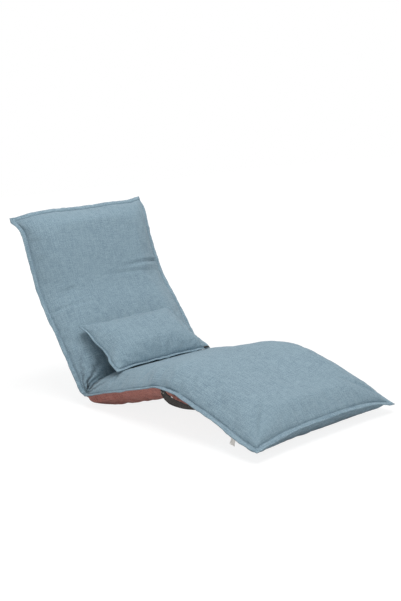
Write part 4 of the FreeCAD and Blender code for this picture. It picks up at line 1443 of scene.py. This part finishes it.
def make_marks_group():
    number = "NodeSocketFloat"
    g, given, result = new_group("surface_marks", [
        ("Vector", "NodeSocketVector", None), ("Grain size", number, 900.0),
        ("Stain size", number, 30.0), ("Chip share", number, 0.3)], ("Grain", "Stain", "Chip"))
    place, size = given["Vector"], given["Stain size"]
    split = g.split(place)
    stretched = g.combine(g.times(split[0], GRAIN_STRETCH), split[1], split[2])
    stain = g.noise(place, size, 4.0, 0.6)
    spots = g.noise(place, g.times(size, 9.0), 3.0, 0.7)
    limit = g.minus(0.82, g.times(given["Chip share"], 0.3))
    exposed = g.plus(g.times(spots, SPOT_SHARE), g.times(stain, 1.0 - SPOT_SHARE))
    chip = g.range(exposed, limit, g.plus(limit, CHIP_EDGE), 0.0, 1.0)
    g.wire(g.noise(stretched, given["Grain size"], 3.0, 0.6), result["Grain"])
    g.wire(stain, result["Stain"])
    g.wire(chip, result["Chip"])
    return g.tree


marks_group = make_marks_group()
print("group", marks_group.name)

# %% [markdown]
# Each row of the table is one finish: its name, its colour, its stained and its chipped colour,
# how metallic and how rough it is, how fine its grain and its stains are, the share of chips and
# the strength of the relief.

# %% Metal, paint and thread
GRAIN_HEIGHT = 0.0003
HARD_FINISHES = (
    ("painted_steel", (38, 39, 41), (52, 52, 54), (150, 146, 140), 0.0, 0.42, 500.0, 26.0, 0.35, 0.3),
    ("zinc", (176, 178, 180), (150, 154, 160), (112, 108, 102), 0.9, 0.36, 1400.0, 60.0, 0.2, 0.5),
    ("dark_zinc", (120, 116, 106), (96, 90, 80), (160, 156, 150), 0.85, 0.4, 1400.0, 60.0, 0.3, 0.5),
    ("spring_steel", (96, 100, 108), (70, 74, 90), (130, 110, 90), 0.95, 0.28, 2000.0, 90.0, 0.15, 0.3),
    ("zip_metal", (196, 170, 116), (160, 132, 84), (120, 96, 60), 0.9, 0.35, 1800.0, 80.0, 0.25, 0.4),
    ("blue_thread", (118, 142, 156), (140, 162, 175), (104, 128, 142), 0.0, 0.75, 2600.0, 160.0, 0.1, 0.8),
    ("white_thread", (226, 224, 216), (204, 200, 190), (170, 164, 152), 0.0, 0.7, 2600.0, 160.0, 0.1, 0.8),
)


def hard_material(name, colour, stained, chipped, metal, rough, grain, stain, chips, bump):
    material, g, surface = new_material(name)
    place = g.node("ShaderNodeTexCoord").outputs["Object"]
    wires = {"Vector": place, "Grain size": grain, "Stain size": stain, "Chip share": chips}
    marks = g.add("ShaderNodeGroup", wires, node_tree=marks_group)
    base = g.blend(marks.outputs["Stain"], linear(*colour), linear(*stained))
    chip = marks.outputs["Chip"]
    metallic = g.plus(g.times(chip, 1.0 - metal), metal)
    roughness = g.range(marks.outputs["Grain"], 0.3, 0.7, rough - 0.08, rough + 0.1)
    height = g.minus(marks.outputs["Grain"], g.times(chip, 0.8))
    g.fill(surface, {
        "Base Color": g.blend(chip, base, linear(*chipped)), "Metallic": metallic,
        "Roughness": roughness, "Normal": g.relief(height, GRAIN_HEIGHT, bump).outputs[0]})
    return material


hard = {row[0]: hard_material(*row) for row in HARD_FINISHES}
print("hard finishes", sorted(hard))

# %% [markdown]
# The frame's own pieces are kept, and each gets the finish of its kind by the end of its name.

# %% Finish the frame's pieces
FINISHES = (
    (("_rail_near", "_rail_far", "_cross_tubes", "_hoop"), hard["painted_steel"]),
    (("_fork_near", "_fork_far"), hard["painted_steel"]),
    (("_toothed_arm_near", "_toothed_arm_far", "_pivot_rivets"), hard["zinc"]),
    (("_pawl_near", "_pawl_far", "_pawl_rivets"), hard["dark_zinc"]),
    (("_pawl_springs",), hard["spring_steel"]),
    (("_elastic_belts",), elastic_web),
    (("zip_chain",), zip_tape),
    (("zip_slider",), hard["zip_metal"]),
)
dressed = 0
for endings, material in FINISHES:
    for name, node in frame["nodes"].items():
        if name.endswith(endings):
            node.data.materials.clear()
            node.data.materials.append(material)
            dressed += 1
print("finished nodes", dressed)

# %% [markdown]
# Both flanges are topstitched, on the upper and on the lower ply. The stitches lie in the dip
# of the flange's section, so they take their line from it.

# %% Stitches
STITCH_PITCH = 0.0052
STITCH_LIFT = 0.0004
TOP_LANE, BASE_LANE = 2, -3
STITCH_NAMES = {
    UPPER: "upper_flange_stitches",
    MIDDLE: "middle_flange_stitches",
    LOWER: "lower_flange_stitches",
}


def stitch_lines(strip, upward, kinds, kind):
    """Points and edges of the upper and the lower stitch line that belong to one piece."""
    count = len(upward)
    grid = strip.reshape(count, len(FLANGE_SECTION), 3)
    lift = upward * STITCH_LIFT
    points = np.concatenate([grid[:, TOP_LANE] + lift, grid[:, BASE_LANE] - lift])
    start = np.nonzero(kinds == kind)[0]
    after = (start + 1) % count
    edges = np.concatenate([np.stack([start, after], 1), np.stack([start + count, after + count], 1)])
    used, renumbered = np.unique(edges, return_inverse=True)
    return points[used], renumbered.reshape(-1, 2)


edge_kinds = section_kind((ring_s + np.roll(ring_s, -1)) / 2)
for kind, name in STITCH_NAMES.items():
    points, edges = stitch_lines(flange_verts, cover_ring_up, edge_kinds, kind)
    row = row_piece(name, points, edges, stitch, STITCH_PITCH, hard["blue_thread"])
    bend(row)
points, edges = stitch_lines(pillow_flange, pillow_ring_up, np.zeros(len(pillow_ring_up), int), 0)
points[:, 1] += PILLOW_SHIFT
pillow_stitches = row_piece(
    "pillow_flange_stitches", points, edges, stitch, STITCH_PITCH * 0.9, hard["blue_thread"])
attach(pillow_stitches, "pillow")
crushed(pillow_stitches)

# %% [markdown]
# The trim is thin: webbing and a label. A thin piece is made of two grids, a front and a back,
# joined all round. The near side's trim is placed in the leg's plane, along its seam and above it.

# %% Thin pieces
def shell(name, front, back, uv, materials, kinds=None):
    """A thin closed piece between two grids; kinds gives the material of each lane."""
    long, lanes = front.shape[:2]
    total = long * lanes
    index = np.arange(total).reshape(long, lanes)
    flat_uv = uv.reshape(-1, 2)
    face = np.stack([index[:-1, :-1], index[1:, :-1], index[1:, 1:], index[:-1, 1:]], -1)
    face = face.reshape(-1, 4)
    rim = seam_ring(index)
    after = np.roll(rim, -1)
    wall = np.stack([rim, after, after + total, rim + total], 1)
    quads = np.concatenate([face, face[:, ::-1] + total, wall])
    coords = flat_uv[quads % total]
    face_kinds = np.zeros(len(face), int) if kinds is None else np.tile(kinds, long - 1)
    all_kinds = np.concatenate([face_kinds, face_kinds, np.zeros(len(wall), int)])
    verts = np.concatenate([front.reshape(-1, 3), back.reshape(-1, 3)])
    piece = mesh_from(name, verts, quads, coords, all_kinds, materials)
    face_outwards(piece)
    return piece


leg_up = course(90 - LEG_DROP)


def by_leg(along, high, y):
    """Points given along the leg's seam, above it and across the chair."""
    spot = knee + np.multiply.outer(along, leg_way) + np.multiply.outer(high, leg_up)
    return np.stack([spot[..., 0], np.broadcast_to(y, spot.shape[:-1]), spot[..., 1]], -1)


def bow_through(start, middle, end, t):
    """A soft curve through three points."""
    start, middle, end = np.array(start), np.array(middle), np.array(end)
    return soft_curve(start, 2 * middle - (start + end) / 2, end, t)


def crossed(long, wide):
    """Two grids that run from 0 to 1, one along and one across."""
    return np.meshgrid(np.linspace(0, 1, long), np.linspace(0, 1, wide), indexing="ij")


TRIM_Y = -HALF_WIDTH - FLANGE * 0.22
print("trim hangs at y", round(TRIM_Y, 4))

# %% [markdown]
# The carry handle is a band of black webbing. Its middle lanes are a paler grey, a painted
# highlight along the middle of the band. It is sewn under the flange just past the knee, drops,
# and runs back up under the flange, so it shows as a crescent. The lanes across it give thick
# bound edges and a thin middle. Two white tacks hold its upper end.

# %% Carry handle
HANDLE_STEPS = 64
HANDLE_LENGTH, HANDLE_WIDTH = 0.21, 0.02
HANDLE_SAG = 0.004
HANDLE_WAVES = ((0.0008, 0.03, 31),)
OUTER_EDGE = ((-0.012, -0.016), (0.048, -0.043), (0.180, -0.002))
INNER_EDGE = ((0.014, -0.013), (0.064, -0.015), (0.150, -0.002))
LANES = np.array([0.0, 0.03, 0.12, 0.15, 0.32, 0.5, 0.68, 0.85, 0.88, 0.97, 1.0])
THICKNESS = np.array([0.5, 1.3, 1.5, 0.9, 1.0, 1.05, 1.0, 0.9, 1.5, 1.3, 0.5]) * MILLIMETRE
# Lanes of kind 1, in the middle, take the paler webbing, a painted highlight along the band
LANE_KINDS = [0, 0, 0, 1, 1, 1, 1, 0, 0, 0]

t = np.linspace(0, 1, HANDLE_STEPS)
outer, inner = bow_through(*OUTER_EDGE, t), bow_through(*INNER_EDGE, t)
band = outer[:, None] * (1 - LANES[:, None]) + inner[:, None] * LANES[:, None]
sag = TRIM_Y - HANDLE_SAG * np.sin(math.pi * t)[:, None]
sag = sag + waves(t[:, None] * 0.3, LANES * HANDLE_WIDTH, HANDLE_WAVES)
band_uv = np.stack(np.broadcast_arrays(t[:, None] * HANDLE_LENGTH, LANES * HANDLE_WIDTH), -1)
carry_handle = shell(
    "carry_handle_band", by_leg(band[..., 0], band[..., 1], sag - THICKNESS),
    by_leg(band[..., 0], band[..., 1], sag + THICKNESS), band_uv, (black_web, painted_highlight_web), LANE_KINDS)
bend(carry_handle)
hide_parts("carry_handle")
tack_line = by_leg(np.array([-0.003, 0.008]), np.array([-0.023, -0.022]), TRIM_Y - 0.0026)
handle_tacks = row_piece("handle_tacks", tack_line, [(0, 1)], tack, 0.011, hard["white_thread"], 0.05)
bend(handle_tacks)
print("handle", len(carry_handle.data.polygons), "quads")

# %% [markdown]
# A short black tab of webbing sits in the pillow's lower seam, at its far corner. It is a dark
# piece put into the shade under that corner, a painted shade.

# %% Pillow tab of painted shade
TAB_LENGTH, TAB_WIDTH = 0.022, 0.008
TAB_LIFT, TAB_HALF_THICKNESS = 0.0045, 0.0008

tab_run, tab_across = crossed(9, 5)
tab_y = PILLOW_WIDTH / 2 + PILLOW_SHIFT - 0.012 + tab_run * TAB_LENGTH
tab_high = TAB_LIFT + 0.0015 * np.sin(math.pi * tab_run)
tab_spot = pillow_foot + np.multiply.outer(-0.004 - tab_across * TAB_WIDTH, pillow_run)
tab_spot = tab_spot + np.multiply.outer(tab_high, pillow_up)
tab = np.stack([tab_spot[..., 0], tab_y, tab_spot[..., 1]], -1)
tab_out = TAB_HALF_THICKNESS * np.array([pillow_up[0], 0.0, pillow_up[1]])
tab_uv = np.stack([tab_run * TAB_LENGTH, tab_across * TAB_WIDTH], -1)
# The dark tab paints the shade under the pillow's corner
pillow_tab = shell("pillow_tab", tab + tab_out, tab - tab_out, tab_uv, (black_web,))
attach(pillow_tab, "pillow")
crushed(pillow_tab)
print("tab", len(pillow_tab.data.polygons), "quads")

# %% [markdown]
# The label hangs from the near seam of the leg. It is blank, and it curls a little as it hangs.

# %% Blank label
LABEL_PLACE, LABEL_WIDTH, LABEL_LENGTH = 0.349, 0.020, 0.032
LABEL_HALF_THICKNESS = 0.00025

across, down = crossed(9, 15)
curl = TRIM_Y - 0.003 * down ** 2 + 0.0012 * np.sin(5 * down + 2 * across)
label_grid = by_leg(LABEL_PLACE + across * LABEL_WIDTH, -0.0005 - down * LABEL_LENGTH, curl)
label_uv = np.stack([across * LABEL_WIDTH, down * LABEL_LENGTH], -1)
label_out = np.array([0.0, LABEL_HALF_THICKNESS, 0.0])
care_label = shell("blank_label", label_grid - label_out, label_grid + label_out, label_uv, (white_satin,))
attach(care_label, "leg")
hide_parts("care_label")
print("label", len(care_label.data.polygons), "quads")

# %% [markdown]
# The zip lies across the seat's base. Its tape and slider come with the frame, and two rows of
# teeth are added here. The teeth of one row sit between those of the other.

# %% Zip teeth
ZIP_LENGTH = 0.190
TOOTH_PITCH = 0.0021
TOOTH_DEPTH = 0.0449
ROW_OFFSET = 0.0009
TAPE_END = 0.004

tooth_lines, tooth_edges = [], []
for side in (-1, 1):
    spot = waist + seat_way * (ZIP_PLACE + side * ROW_OFFSET) - seat_up * TOOTH_DEPTH
    start = -ZIP_LENGTH / 2 + TAPE_END + (side + 1) * TOOTH_PITCH / 4
    tooth_lines += [(spot[0], start, spot[1]), (spot[0], -start - TOOTH_PITCH / 2, spot[1])]
    tooth_edges.append((len(tooth_lines) - 2, len(tooth_lines) - 1))
zip_teeth = row_piece("zip_teeth", tooth_lines, tooth_edges, tooth, TOOTH_PITCH, hard["zip_metal"], 0.02)
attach(zip_teeth, "seat")
for scrap in (stitch, tack, tooth):
    bpy.data.objects.remove(scrap)

# %% [markdown]
